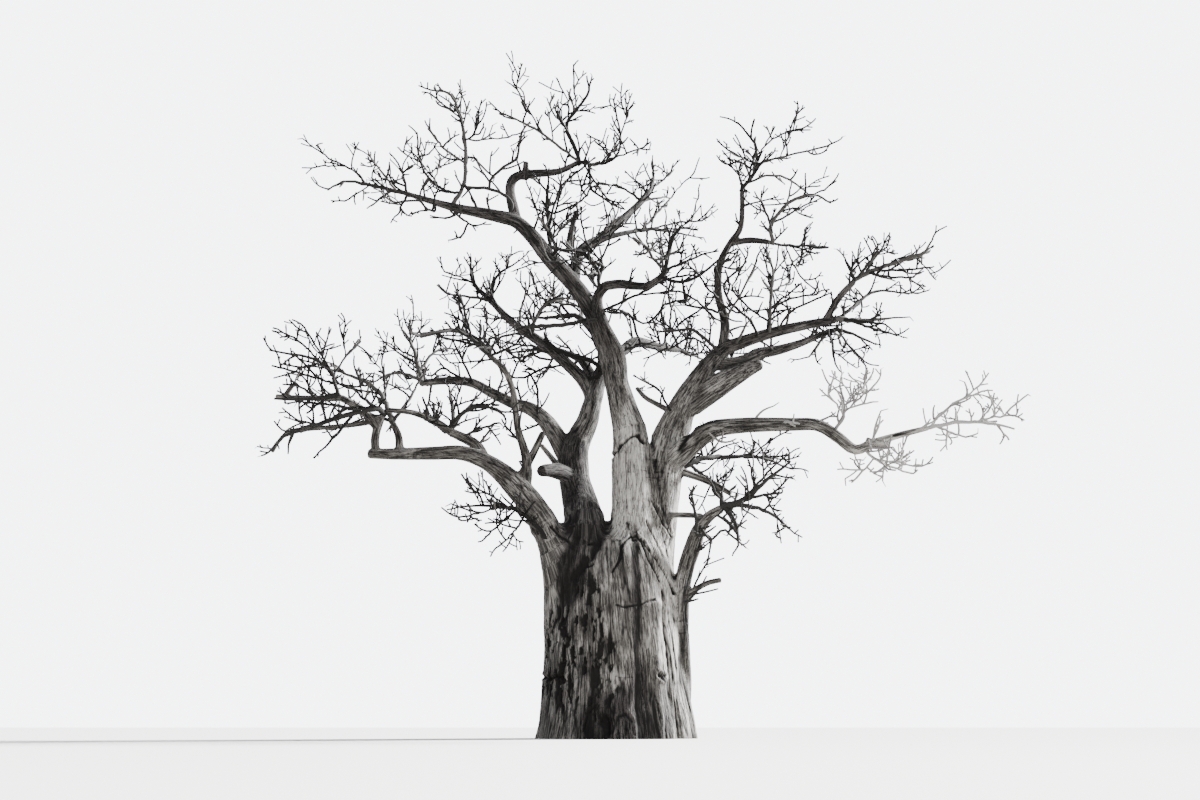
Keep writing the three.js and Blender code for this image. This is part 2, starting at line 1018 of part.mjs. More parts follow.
// A tapering tube over stations. Its first ring stands square to "facing" where that is
// given, and a pointed tube draws its last station to a point
function tube(stations, sides, { facing = null, pointed = false, swell = 0 } = {}) {
  const first = directionAt(stations, 0);
  let side = new THREE.Vector3(0, 1, 0).cross(first);
  if (side.length() < PARALLEL_SINE) side = new THREE.Vector3(1, 0, 0).cross(first);
  side.normalize();
  const last = stations.length - 1;
  const rings = stations.map(({ at, radius }, i) => {
    if (pointed && i === last) return [at.clone()];
    const along = i === 0 && facing ? facing : directionAt(stations, i);
    const reach = i === 0 ? -swell : i === last ? swell : 0;
    side.addScaledVector(along, -side.dot(along)).normalize();
    const up = along.clone().cross(side);
    return Array.from({ length: sides }, (_, k) => {
      const turn = (2 * Math.PI * k) / sides;
      return at
        .clone()
        .addScaledVector(along, reach)
        .addScaledVector(side, Math.cos(turn) * (radius + swell))
        .addScaledVector(up, Math.sin(turn) * (radius + swell));
    });
  });
  return skin(rings);
}

function solid(geometry) {
  const merged = mergeVertices(geometry, MERGE_WITHIN);
  const mesh = new wasm.Mesh({
    numProp: 3,
    vertProperties: new Float32Array(merged.attributes.position.array),
    triVerts: new Uint32Array(merged.index.array),
  });
  return new wasm.Manifold(mesh);
}

function geometryOf(body) {
  const mesh = body.getMesh();
  const geometry = new THREE.BufferGeometry();
  geometry.setAttribute("position", new THREE.BufferAttribute(mesh.vertProperties, 3));
  geometry.setIndex(new THREE.BufferAttribute(mesh.triVerts, 1));
  return geometry;
}

const join = (bodies) => bodies.reduce((whole, body) => whole.add(body));

// The largest body that a cut leaves
const largest = (body) =>
  body.decompose().reduce((best, part) => (part.volume() > best.volume() ? part : best));

// A segment of a limb or twig, as the twigs' clearance tests see it
const segmentsOf = (stations, owner) =>
  stations.slice(1).map((station, i) => ({
    from: stations[i].at,
    to: station.at,
    radius: Math.max(stations[i].radius, station.radius),
    owner,
  }));

// The least distance between two straight segments
function distanceBetween(a, b) {
  const u = a.to.clone().sub(a.from);
  const v = b.to.clone().sub(b.from);
  const w = a.from.clone().sub(b.from);
  const [uu, uv, vv, uw, vw] = [u.dot(u), u.dot(v), v.dot(v), u.dot(w), v.dot(w)];
  const clamp = (share) => Math.min(1, Math.max(0, share));
  const parallel = uu * vv - uv * uv;
  let s = parallel > 0 ? clamp((uv * vw - vv * uw) / parallel) : 0;
  const t = clamp((uv * s + vw) / vv);
  s = clamp((uv * t - uw) / uu);
  return w.addScaledVector(u, s).addScaledVector(v, -t).length();
}

// Trunk

// How deep the furrows are at a height and a turn, on a trunk of this radius
function furrowDepth(z, turn, radius) {
  return TRUNK_FURROWS.reduce((depth, { width, line }) => {
    const i = line.findIndex(([height], k) => height <= z && z <= line[k + 1]?.[0]);
    if (i < 0) return depth;
    const share = (z - line[i][0]) / (line[i + 1][0] - line[i][0]);
    const middle = THREE.MathUtils.degToRad(between([line[i][1], line[i + 1][1]], share));
    const aside = Math.atan2(Math.sin(turn - middle), Math.cos(turn - middle)) * radius;
    const deepest = between([line[i][2], line[i + 1][2]], share);
    return depth + deepest * Math.exp(-((aside / width) ** 2));
  }, 0);
}

function trunkBody(swell) {
  const columns = TRUNK_LEVELS[0].map((_, column) => TRUNK_LEVELS.map((row) => row[column]));
  const rings = Array.from({ length: TRUNK_RINGS }, (_, i) => {
    const share = i / (TRUNK_RINGS - 1);
    const [z, x, y, wide, deep, fold] = columns.map((column) => smooth(column, share));
    return Array.from({ length: TRUNK_SIDES }, (_, k) => {
      const turn = (2 * Math.PI * k) / TRUNK_SIDES;
      const stand = TRUNK_FOLDS.reduce(
        (sum, [count, start, weight]) => sum + weight * Math.cos(count * turn + start),
        0,
      );
      const grow = 1 + fold * stand;
      const inward = furrowDepth(z, turn, (wide + deep) / 2) - swell;
      const px = x + (wide * grow - inward) * Math.cos(turn);
      const py = y + (deep * grow - inward) * Math.sin(turn);
      return new THREE.Vector3(px, py, z);
    });
  });
  return solid(skin(rings));
}

const stemStations = Object.fromEntries(
  Object.entries(TRUNK_STEMS).map(([name, line]) => [
    name,
    stationsAlong(line, Math.ceil(lengthOf(line) / BOUGH_RING_SPACING)),
  ]),
);

const trunkSolid = (swell) =>
  join([
    trunkBody(swell),
    ...Object.values(stemStations).map((stations) =>
      solid(tube(stations, STEM_SIDES, { swell })),
    ),
  ]);

// Boughs

const limbs = {};
for (const [name, { meets, line }] of Object.entries(BOUGHS)) {
  const stations = stationsAlong(line, Math.ceil(lengthOf(line) / BOUGH_RING_SPACING));
  const limb = { stations, facing: null };
  limb.sides = line[0][3] < SLIM_BOUGH_DIAMETER ? SLIM_BOUGH_SIDES : BOUGH_SIDES;
  if (meets) {
    const carrier = stemStations[meets] ?? limbs[meets].stations;
    limb.facing = directionAt(carrier, carrier.length - 1);
    stations[0].at.addScaledVector(limb.facing, GAP);
  }
  limbs[name] = limb;
}

const limbSolid = ({ stations, facing, sides }, swell = 0) =>
  solid(tube(stations, sides, { facing, swell }));

const carrierSolid = (name) =>
  name === "trunk" ? trunkSolid(GAP) : limbSolid(limbs[name], GAP);

const boughSolids = {};
for (const [name, { on }] of Object.entries(BOUGHS)) {
  const whole = limbSolid(limbs[name]);
  boughSolids[name] = on ? largest(whole.subtract(carrierSolid(on))) : whole;
}

// Twigs

const trunkLine = TRUNK_LEVELS.map(([z, x, y, wide]) => [x, y, z, 2 * wide]);
const limbSegments = [
  ...segmentsOf(stationsAlong(trunkLine, TRUNK_LEVELS.length), "trunk"),
  ...Object.values(stemStations).flatMap((stations) => segmentsOf(stations, "trunk")),
  ...Object.entries(limbs).flatMap(([name, { stations }]) => segmentsOf(stations, name)),
];

// A twig from a start through points to its tip, with small kinks at its joints
function twig(start, points, diameter, random) {
  const line = [start.toArray(), ...points];
  const reach = lengthOf(line);
  const joints = line.length;
  const tip = Math.min(diameter, TWIG_TIP_DIAMETER);
  const stations = stationsAlong(line.map((point) => [...point, 0]), joints);
  stations.forEach((station, i) => {
    station.radius = (diameter + (tip - diameter) * (i / joints)) / 2;
    if (i === 0 || i === joints) return;
    const shift = () => (random() - 0.5) * 2 * TWIG_KINK * (reach / joints);
    station.at.add(new THREE.Vector3(shift(), shift(), shift()));
  });
  return stations;
}

// Where a twig is at a share of its joints, its radius there and the way that it runs
function pointOn(stations, share) {
  const place = share * (stations.length - 1);
  const i = Math.min(Math.floor(place), stations.length - 2);
  const [a, b] = [stations[i], stations[i + 1]];
  return {
    at: a.at.clone().lerp(b.at, place - i),
    radius: a.radius + (b.radius - a.radius) * (place - i),
    along: b.at.clone().sub(a.at).normalize(),
  };
}

// The heading of a side twig: turned out from its leader, then upwards
function sideHeading(along, turn, random) {
  const level = new THREE.Vector3(0, 0, 1).cross(along);
  if (level.length() < PARALLEL_SINE) level.set(1, 0, 0);
  level.normalize();
  const over = along.clone().cross(level);
  const angle = THREE.MathUtils.degToRad(between(SIDE_ANGLE, random()));
  const out = level.multiplyScalar(Math.cos(turn)).addScaledVector(over, Math.sin(turn));
  const heading = along.clone().multiplyScalar(Math.cos(angle));
  heading.addScaledVector(out, Math.sin(angle));
  heading.z += SIDE_LIFT;
  return heading.normalize();
}

function leadersOf(name, { meets, on, diameter, stem, leaders }) {
  const carrier = limbs[meets ?? on]?.stations;
  const end = meets ? carrier.at(-1) : null;
  const facing = meets ? directionAt(carrier, carrier.length - 1) : null;
  const foot = meets ? end.at.clone().addScaledVector(facing, GAP) : vector(stem[0]);
  const girth = meets ? 2 * end.radius : diameter;
  const random = stream(`${name} stem`);
  const start = meets ? foot.clone().addScaledVector(facing, LEAD_IN * girth) : foot;
  const main = twig(start, meets ? stem : stem.slice(1), girth, random);
  if (meets) main.unshift({ at: foot, radius: girth / 2 });
  const twigs = [{ stations: main, facing }];
  for (const [from, share, ...points] of leaders) {
    const { at, radius } = pointOn(twigs[from].stations, share);
    const shares = stream(`${name} leader ${twigs.length}`);
    const stations = twig(at, points, 2 * radius * LEADER_THINNING, shares);
    twigs.push({ stations, facing: null });
  }
  return twigs;
}

const masses = Object.fromEntries(
  Object.entries(MASSES).map(([name, mass]) => [name, leadersOf(name, mass)]),
);
const leaderSegments = Object.entries(masses).flatMap(([name, twigs]) =>
  twigs.flatMap(({ stations }) => segmentsOf(stations, name)),
);

const clearOf = (segment, others) =>
  others.every(
    (other) =>
      distanceBetween(segment, other) > segment.radius + other.radius + TWIG_CLEARANCE,
  );

// A mass's own space: all that lies nearer to its leaders than to another mass's
function inOwnSpace(name, point) {
  const spot = { from: point, to: point.clone().add(new THREE.Vector3(0, 0, 1)) };
  let own = Infinity;
  let other = Infinity;
  for (const segment of leaderSegments) {
    const distance = distanceBetween(spot, segment);
    if (segment.owner === name) own = Math.min(own, distance);
    else other = Math.min(other, distance);
  }
  return own < other;
}

// Side twigs along each leader of a mass. One that would leave the mass's space, or come
// near a limb or another twig, is skipped
function sideTwigs(name, leaders) {
  const grown = [];
  leaders.forEach(({ stations }, number) => {
    const reach = lengthOf(stations.map(({ at }) => at.toArray()));
    const bearing = (SIDE_STRETCH[1] - SIDE_STRETCH[0]) * reach;
    const count = Math.floor(bearing / SIDE_SPACING) + 1;
    const start = stream(`${name} turn ${number}`)() * 2 * Math.PI;
    for (let k = 0; k < count; k += 1) {
      const random = stream(`${name} side ${number} ${k}`);
      const share = between(SIDE_STRETCH, (k + random()) / count);
      const { at, radius, along } = pointOn(stations, share);
      const heading = sideHeading(along, start + k * GOLDEN_TURN, random);
      const length = between(SIDE_LENGTH, random()) * reach * between(SIDE_SHORTENING, share);
      const span = THREE.MathUtils.clamp(length, ...SIDE_BOUNDS);
      const tip = at.clone().addScaledVector(heading, span);
      tip.z += SIDE_RISE * span;
      const girth = Math.max(2 * radius * SIDE_THINNING, TWIG_TIP_DIAMETER);
      const side = { stations: twig(at, [tip.toArray()], girth, random) };
      const own = segmentsOf(side.stations, name);
      const outer = own.at(-1);
      const near = [...leaders, ...grown]
        .filter((twigNear) => twigNear.stations !== stations)
        .flatMap((twigNear) => segmentsOf(twigNear.stations, name));
      const strangers = leaderSegments.filter(({ owner }) => owner !== name);
      const free =
        own.every((part) => clearOf(part, limbSegments) && clearOf(part, strangers)) &&
        clearOf(outer, near) &&
        inOwnSpace(name, tip);
      if (free) grown.push(side);
    }
  });
  return grown;
}

const massSolids = {};
for (const [name, leaders] of Object.entries(masses)) {
  const { meets, on } = MASSES[name];
  const twigs = [...leaders, ...sideTwigs(name, leaders)];
  const body = join(
    twigs.map(({ stations, facing }) =>
      solid(tube(stations, TWIG_SIDES, { facing, pointed: true })),
    ),
  );
  massSolids[name] = largest(body.subtract(carrierSolid(meets ?? on)));
}

// The tree

const tree = new THREE.Group();

function addPiece(name, body, color) {
  const material = new THREE.MeshStandardMaterial({ color, roughness: 0.9, metalness: 0 });
  const mesh = new THREE.Mesh(geometryOf(body), material);
  mesh.name = name;
  tree.add(mesh);
}

addPiece("trunk", trunkSolid(0), BARK);
for (const [name, body] of Object.entries(boughSolids)) addPiece(name, body, BARK);
for (const [name, body] of Object.entries(massSolids)) addPiece(name, body, TWIG_BARK);

export default tree;
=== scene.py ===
"""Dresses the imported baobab: bark with its relief, and a crown of fine bare twigs.

The trunk and the boughs are swept again from their named sizes, fused into one skin and
given folds, furrows, cracks and scars. The twigs grow from the boughs by the solids' own
rule and are carried on to finer ones. Limbs and twigs are laid out in millimetres, and the
skin, its creases and its patches in metres.
"""

from __future__ import annotations

import logging
import math
from collections.abc import Iterable
from dataclasses import dataclass
from enum import Enum

import bpy
import numpy as np
from bpy.types import Light, Material, Mesh, Node, NodeSocket, NodeTree, Object
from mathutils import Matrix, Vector

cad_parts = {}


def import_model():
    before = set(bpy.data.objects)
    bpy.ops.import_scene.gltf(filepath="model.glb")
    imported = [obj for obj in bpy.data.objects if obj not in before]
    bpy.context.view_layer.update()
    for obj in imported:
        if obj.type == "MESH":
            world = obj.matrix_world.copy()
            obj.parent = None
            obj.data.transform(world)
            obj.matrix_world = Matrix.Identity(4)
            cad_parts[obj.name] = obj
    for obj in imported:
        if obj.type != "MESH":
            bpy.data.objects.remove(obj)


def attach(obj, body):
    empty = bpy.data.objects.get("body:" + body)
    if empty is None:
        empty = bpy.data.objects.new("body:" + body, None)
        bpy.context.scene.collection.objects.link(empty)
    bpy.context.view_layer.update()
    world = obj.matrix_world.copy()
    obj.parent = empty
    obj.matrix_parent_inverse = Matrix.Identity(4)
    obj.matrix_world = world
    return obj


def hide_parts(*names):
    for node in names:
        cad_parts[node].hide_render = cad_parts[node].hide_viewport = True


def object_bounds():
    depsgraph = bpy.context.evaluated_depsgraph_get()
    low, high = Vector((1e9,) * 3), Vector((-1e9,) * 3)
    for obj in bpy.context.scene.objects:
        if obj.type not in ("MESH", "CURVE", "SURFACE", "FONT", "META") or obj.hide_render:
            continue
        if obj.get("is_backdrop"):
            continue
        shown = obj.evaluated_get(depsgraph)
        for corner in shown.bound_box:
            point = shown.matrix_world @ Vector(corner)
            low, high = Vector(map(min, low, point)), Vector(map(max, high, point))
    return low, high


logger = logging.getLogger("baobab")

Table = tuple[tuple[float, ...], ...]
Array = np.ndarray
Bounds = tuple[float, float]
Triple = tuple[float, float, float]
Sockets = bpy.types.bpy_prop_collection

MILLIMETRE = 0.001
BODY = "root"

# How far a twig may pass the solids' outer reach, in millimetres
CROWN_MARGIN = 60


@dataclass(frozen=True)
class Limb:
    """A stem or bough: what carries it, its line, and whether that starts at the other's end."""

    name: str
    carrier: str
    line: Table
    meets: bool = False


@dataclass(frozen=True)
class Mass:
    """A mass of twigs: its carrier, the stem's points and the leaders that leave it.

    A leader is the number of the one that it leaves, the share of the way along it, and its
    points. A stem without a diameter carries its bough's end on.
    """

    name: str
    carrier: str
    stem: Table
    leaders: tuple[tuple, ...]
    diameter: float = 0


# Body of the trunk: height, middle across and in depth, half width, half depth, and how
# far its folds stand out as a share of its radius
TRUNK_LEVELS: Table = (
    (0, 0, 0, 2160, 2130, 0.05), (450, 0, 0, 2080, 2030, 0.045), (1000, -20, 0, 2010, 1930, 0.04),
    (1900, -50, 0, 1920, 1840, 0.035), (3000, -110, 0, 1860, 1770, 0.03),
    (4000, -170, 0, 1820, 1670, 0.03), (4800, -210, 0, 1790, 1490, 0.02),
    (5350, -220, 20, 1540, 1200, 0.01), (5650, -230, 60, 1030, 790, 0),
)

# Furrows down the body of the trunk: half width, and points of height, turn in degrees with
# the front at -90, and depth
TRUNK_FURROWS: tuple[tuple[float, Table], ...] = (
    (330, (
        (2500, -141, 40), (3600, -133, 150), (4500, -117, 240), (5100, -104, 280), (5700, -95, 280),
    )),
    (190, ((0, -67, 160), (1000, -66, 110), (2500, -66, 60), (4600, -66, 40))),
    (190, ((0, -35, 100), (1700, -37, 80), (4200, -37, 70))),
    (200, ((0, -99, 110), (1000, -97, 70), (4000, -88, 50))),
    (230, ((0, -128, 130), (1500, -130, 60))),
    (230, ((0, 12, 120), (2500, 18, 90), (5000, 25, 60))),
    (230, ((0, 62, 140), (2000, 55, 100), (4800, 60, 80))),
    (240, ((0, 112, 130), (3000, 105, 110), (5400, 95, 120))),
    (230, ((0, 158, 140), (2200, 162, 90), (4600, 150, 70))),
    (210, ((0, -165, 110), (2000, -168, 80), (4000, -172, 40))),
)

TRUNK_STEMS: dict[str, Table] = {
    "west": (
        (-1000, -300, 3900, 1900), (-1500, -450, 4900, 1200), (-1850, -600, 5500, 880),
        (-2100, -800, 6000, 770),
    ),
    "back": (
        (-500, 400, 4000, 1900), (-750, 650, 5200, 1400), (-900, 800, 6000, 1020),
        (-1050, 950, 6600, 930),
    ),
    "middle": (
        (250, -300, 3900, 2000), (440, -250, 5200, 1450), (500, -200, 6500, 1180),
        (500, -200, 7600, 1100), (480, -200, 8400, 1020),
    ),
    "east": (
        (700, 100, 3900, 1900), (1080, 200, 5300, 1380), (1250, 250, 6500, 1200),
        (1400, 300, 7500, 1160), (1600, 300, 8400, 1020),
    ),
}

LIMBS: tuple[Limb, ...] = (
    Limb("west_bough", "west", (
        (-2100, -800, 6000, 760), (-2700, -1100, 6700, 640), (-3300, -1400, 7200, 470),
        (-4100, -1800, 7500, 380), (-5300, -2200, 7400, 310), (-6500, -2700, 7300, 210),
    ), meets=True),
    Limb("west_riser", "west_bough", (
        (-6340, -2630, 7320, 190), (-6380, -2600, 7800, 190), (-6260, -2480, 8350, 170),
    )),
    Limb("west_riser_inner", "west_bough", (
        (-5750, -2390, 7370, 190), (-5800, -2330, 7850, 170), (-6000, -2180, 8250, 150),
    )),
    Limb("west_far_bough", "west_riser", (
        (-6360, -2570, 8050, 180), (-6800, -2550, 8550, 180), (-7300, -2800, 8800, 160),
    )),
    Limb("west_upper_bough", "west_bough", (
        (-3500, -1450, 7250, 280), (-3800, -1450, 7800, 250), (-4500, -1550, 8150, 200),
    )),
    Limb("front_bough", "west_bough", (
        (-2500, -950, 6550, 260), (-2400, -1250, 7300, 220), (-2650, -1900, 8200, 170),
        (-2800, -2700, 9300, 140), (-3300, -3300, 9800, 120),
    )),
    Limb("west_stem", "back", (
        (-1050, 950, 6600, 920), (-1200, 1150, 7800, 900), (-1050, 1250, 8500, 740),
        (-750, 1350, 9200, 600), (-550, 1500, 10100, 500), (-300, 1900, 11000, 380),
    ), meets=True),
    Limb("west_back_bough", "west_stem", (
        (-1300, 1150, 7900, 620), (-1800, 1500, 8850, 520), (-2400, 2000, 9600, 390),
        (-3300, 2500, 10050, 310), (-4600, 3200, 10850, 250), (-6000, 3900, 11000, 190),
    )),
    Limb("west_high_bough", "west_stem", (
        (-620, 1450, 9700, 420), (-950, 1600, 10500, 340), (-2100, 2100, 11700, 280),
        (-3100, 2400, 12500, 220), (-3800, 2700, 13300, 160),
    )),
    Limb("back_west_bough", "west_stem", (
        (-490, 1580, 10250, 300), (-900, 2700, 11300, 250), (-1200, 3700, 11800, 200),
        (-1800, 4600, 12300, 140),
    )),
    Limb("back_high_bough", "west_stem", (
        (-300, 1900, 11000, 360), (-400, 2500, 12000, 260), (-1000, 3500, 13000, 170),
    ), meets=True),
    Limb("middle_stem", "middle", (
        (480, -200, 8400, 1010), (250, -250, 9200, 800), (0, -300, 10100, 650),
        (-300, -400, 11200, 530), (-900, -600, 12400, 470), (-1900, -800, 13500, 440),
    ), meets=True),
    Limb("crown_west_bough", "middle_stem", (
        (-1900, -800, 13500, 430), (-2700, -1000, 14450, 360), (-3600, -1200, 14670, 300),
        (-4700, -1350, 14850, 200), (-5900, -1550, 15150, 120),
    ), meets=True),
    Limb("crown_top_bough", "crown_west_bough", (
        (-2850, -1000, 14600, 300), (-3050, -900, 15700, 240), (-2700, -800, 16100, 220),
        (-1800, -800, 16150, 170), (-1100, -700, 16500, 130),
    )),
    Limb("crown_back_bough", "middle_stem", (
        (-1150, -650, 12700, 270), (-1000, 0, 14000, 230), (-400, 700, 14700, 190),
        (200, 1400, 15500, 160), (900, 2200, 16500, 130),
    )),
    Limb("crown_east_bough", "crown_back_bough", (
        (-1020, -50, 13900, 150), (-200, 200, 14500, 140), (700, 900, 15000, 120),
    )),
    Limb("west_stub", "west_stem", (
        (-1150, 1050, 7300, 460), (-1600, 400, 7430, 430), (-2000, -150, 7350, 330),
    )),
    Limb("inner_stem", "middle_stem", (
        (150, -280, 9700, 520), (50, -600, 10700, 480), (-300, -850, 11300, 360),
        (-500, -1000, 12100, 270), (-250, -1200, 12500, 250),
    )),
    Limb("front_bough_east", "inner_stem", (
        (-250, -1200, 12500, 240), (300, -1800, 12350, 210), (800, -2400, 12050, 180),
        (1200, -3000, 12100, 140),
    ), meets=True),
    Limb("back_bough", "middle_stem", (
        (-150, -330, 10700, 300), (300, 700, 11150, 300), (700, 1700, 11700, 280),
        (1400, 3200, 12000, 210), (2200, 4700, 12300, 130),
    )),
    Limb("east_stem", "east", (
        (1600, 300, 8400, 1010), (2100, 200, 9500, 740), (3000, 100, 10800, 430),
        (3800, 0, 11200, 320), (5000, 100, 11600, 260), (6500, 100, 11900, 180),
    ), meets=True),
    Limb("east_rise_bough", "east_stem", (
        (3150, 100, 10900, 270), (3250, -50, 11900, 230), (3000, -400, 12800, 190),
        (3200, -750, 13700, 170), (3600, -950, 14150, 150), (3700, -1200, 14700, 130),
        (3700, -1400, 15300, 120),
    )),
    Limb("east_crook_bough", "east_rise_bough", (
        (3420, -840, 13930, 150), (3950, -900, 14000, 150), (4500, -1000, 13900, 120),
    )),
    Limb("east_far_bough", "east_stem", (
        (6200, 120, 11850, 180), (6600, -100, 12500, 170), (7000, -400, 12900, 150),
    )),
    Limb("east_back_bough", "east_stem", (
        (2900, 150, 10550, 340), (3700, 300, 10650, 330), (4300, 550, 11000, 320),
        (5200, 800, 11250, 220), (6500, 1300, 11900, 140),
    )),
    Limb("broken_bough", "east_stem", (
        (2200, 200, 9300, 680), (2900, 50, 9800, 680), (3600, -250, 10170, 520),
        (4200, -500, 10370, 250),
    )),
    Limb("low_east_bough", "trunk", (
        (1500, 150, 7500, 640), (2350, -650, 8150, 550), (3000, -1050, 8400, 450),
        (4500, -1800, 8300, 330), (5600, -2400, 8100, 290), (6300, -2550, 7450, 250),
        (7100, -2650, 7700, 180), (8300, -2700, 8000, 110),
    )),
    Limb("side_stem", "trunk", (
        (1800, -100, 500, 420), (1880, -250, 1900, 400), (1800, -350, 3200, 400),
        (1900, -400, 4300, 430), (2170, -470, 5150, 460), (2450, -600, 5800, 330),
        (2950, -800, 6150, 210),
    )),
)

# Masses of twigs, by the region of the crown
WEST_MASSES: tuple[Mass, ...] = (
    Mass("west_outer_twigs", "west_far_bough", (
        (-7900, -3050, 8700), (-8900, -3500, 8600),
    ), (
        (0, 0.08, (-7500, -3200, 9200), (-7700, -3400, 9600), (-9000, -3900, 9800)),
        (1, 0.4, (-8200, -3100, 10100), (-8700, -2800, 10500)),
        (1, 0.25, (-8400, -2750, 9450), (-9300, -2400, 9800)),
        (1, 0.35, (-7350, -2800, 9800), (-7000, -2000, 10600)), (1, 0.5, (-8100, -4000, 10400)),
        (0, 0.6, (-8300, -4200, 8900)),
    )),
    Mass("west_hub_twigs", "west_riser", (
        (-6500, -3050, 8400), (-7500, -3500, 7950), (-8300, -3900, 7600), (-8700, -4400, 7000),
    ), (
        (0, 0.55, (-8200, -4900, 7400)), (0, 0.45, (-7700, -3100, 7300)),
        (0, 0.3, (-6700, -3900, 8700)),
    )),
    Mass("west_inner_twigs", "west_riser_inner", (
        (-6300, -2000, 9000), (-7000, -1800, 9600), (-8000, -1400, 10000),
    ), (
        (0, 0.05, (-5700, -1700, 9000), (-5500, -900, 9800)),
        (0, 0.1, (-7200, -1700, 8750), (-8900, -1200, 9100)), (0, 0.4, (-6600, -500, 10100)),
        (0, 0.65, (-7700, -600, 9700)),
    )),
    Mass("west_upper_twigs", "west_upper_bough", (
        (-5100, -1600, 8500), (-5700, -1500, 8700),
    ), (
        (0, 0.05, (-4500, -1300, 8800), (-4700, -600, 9700)),
        (0, 0.15, (-3900, -2100, 8700), (-2900, -2800, 8400)), (0, 0.5, (-5000, -2800, 8200)),
        (0, 0.6, (-5400, -900, 9300)),
    )),
    Mass("front_west_twigs", "front_bough", (
        (-3900, -3900, 10200), (-4300, -4300, 10200), (-5000, -5100, 9800),
    ), (
        (0, 0.3, (-4600, -3400, 10300)), (0, 0.4, (-3900, -4900, 10700)),
        (0, 0.1, (-3200, -4400, 9700), (-3400, -5500, 9400)), (0, 0.05, (-2600, -4000, 9900)),
    )),
    Mass("low_west_twigs", "trunk", (
        (-1850, -900, 5300), (-2350, -1350, 5800), (-2900, -1750, 6050), (-3900, -2700, 5900),
    ), (
        (0, 0.6, (-3600, -1600, 6500)), (0, 0.7, (-4000, -3400, 5500)),
        (0, 0.55, (-3400, -2600, 5100)), (0, 0.4, (-2700, -2500, 5200)),
    ), diameter=150),
)
BACK_MASSES: tuple[Mass, ...] = (
    Mass("west_back_twigs", "west_back_bough", (
        (-6300, 4200, 11600), (-6500, 4500, 12300), (-7100, 5000, 13300),
    ), (
        (0, 0.1, (-7000, 4700, 11600), (-7900, 5300, 11400)),
        (0, 0.4, (-5900, 5300, 12500), (-5300, 6300, 12800)), (0, 0.5, (-7300, 4000, 12300)),
        (0, 0.7, (-7000, 6100, 13700)), (0, 0.05, (-6100, 5400, 11300)),
    )),
    Mass("west_high_twigs", "west_high_bough", (
        (-4400, 2900, 14000), (-4600, 3400, 15000),
    ), (
        (0, 0.2, (-5200, 2500, 13500)), (0, 0.6, (-5500, 3700, 14700)),
        (0, 0.1, (-3700, 2400, 14000), (-3000, 2000, 14400)), (0, 0.3, (-4400, 4200, 14300)),
    )),
    Mass("west_side_twigs", "west_high_bough", (
        (-2500, 2250, 12050), (-2350, 1850, 12600), (-1800, 1500, 13000), (-1000, 1300, 12900),
    ), (
        (0, 0.4, (-2800, 1400, 13400)), (0, 0.25, (-2900, 2900, 12900), (-3900, 3500, 13000)),
        (0, 0.5, (-1900, 2700, 13600)),
    ), diameter=110),
    Mass("back_west_twigs", "back_west_bough", (
        (-2500, 5300, 12500), (-3400, 6000, 12600),
    ), (
        (0, 0.2, (-2200, 5600, 11800)), (0, 0.5, (-3600, 6900, 13200)),
        (0, 0.3, (-2300, 6700, 12900)), (0, 0.4, (-3300, 4900, 12100)),
    )),
    Mass("back_high_twigs", "back_high_bough", (
        (-1500, 4000, 13300), (-2200, 4600, 13400), (-2900, 5300, 13600),
    ), (
        (0, 0.1, (-1000, 4700, 13900), (-1400, 6000, 14600)), (0, 0.5, (-2300, 5900, 14400)),
        (0, 0.4, (-2300, 3900, 14300)),
    )),
    Mass("back_twigs", "back_bough", (
        (2700, 5600, 12400), (3200, 6800, 12600),
    ), (
        (0, 0.1, (1900, 5000, 13500), (2200, 5700, 14500)), (0, 0.4, (2700, 6800, 13900)),
        (0, 0.6, (2700, 7800, 13200)), (0, 0.2, (1000, 6200, 12900)), (0, 0.5, (4100, 6000, 12600)),
    )),
)
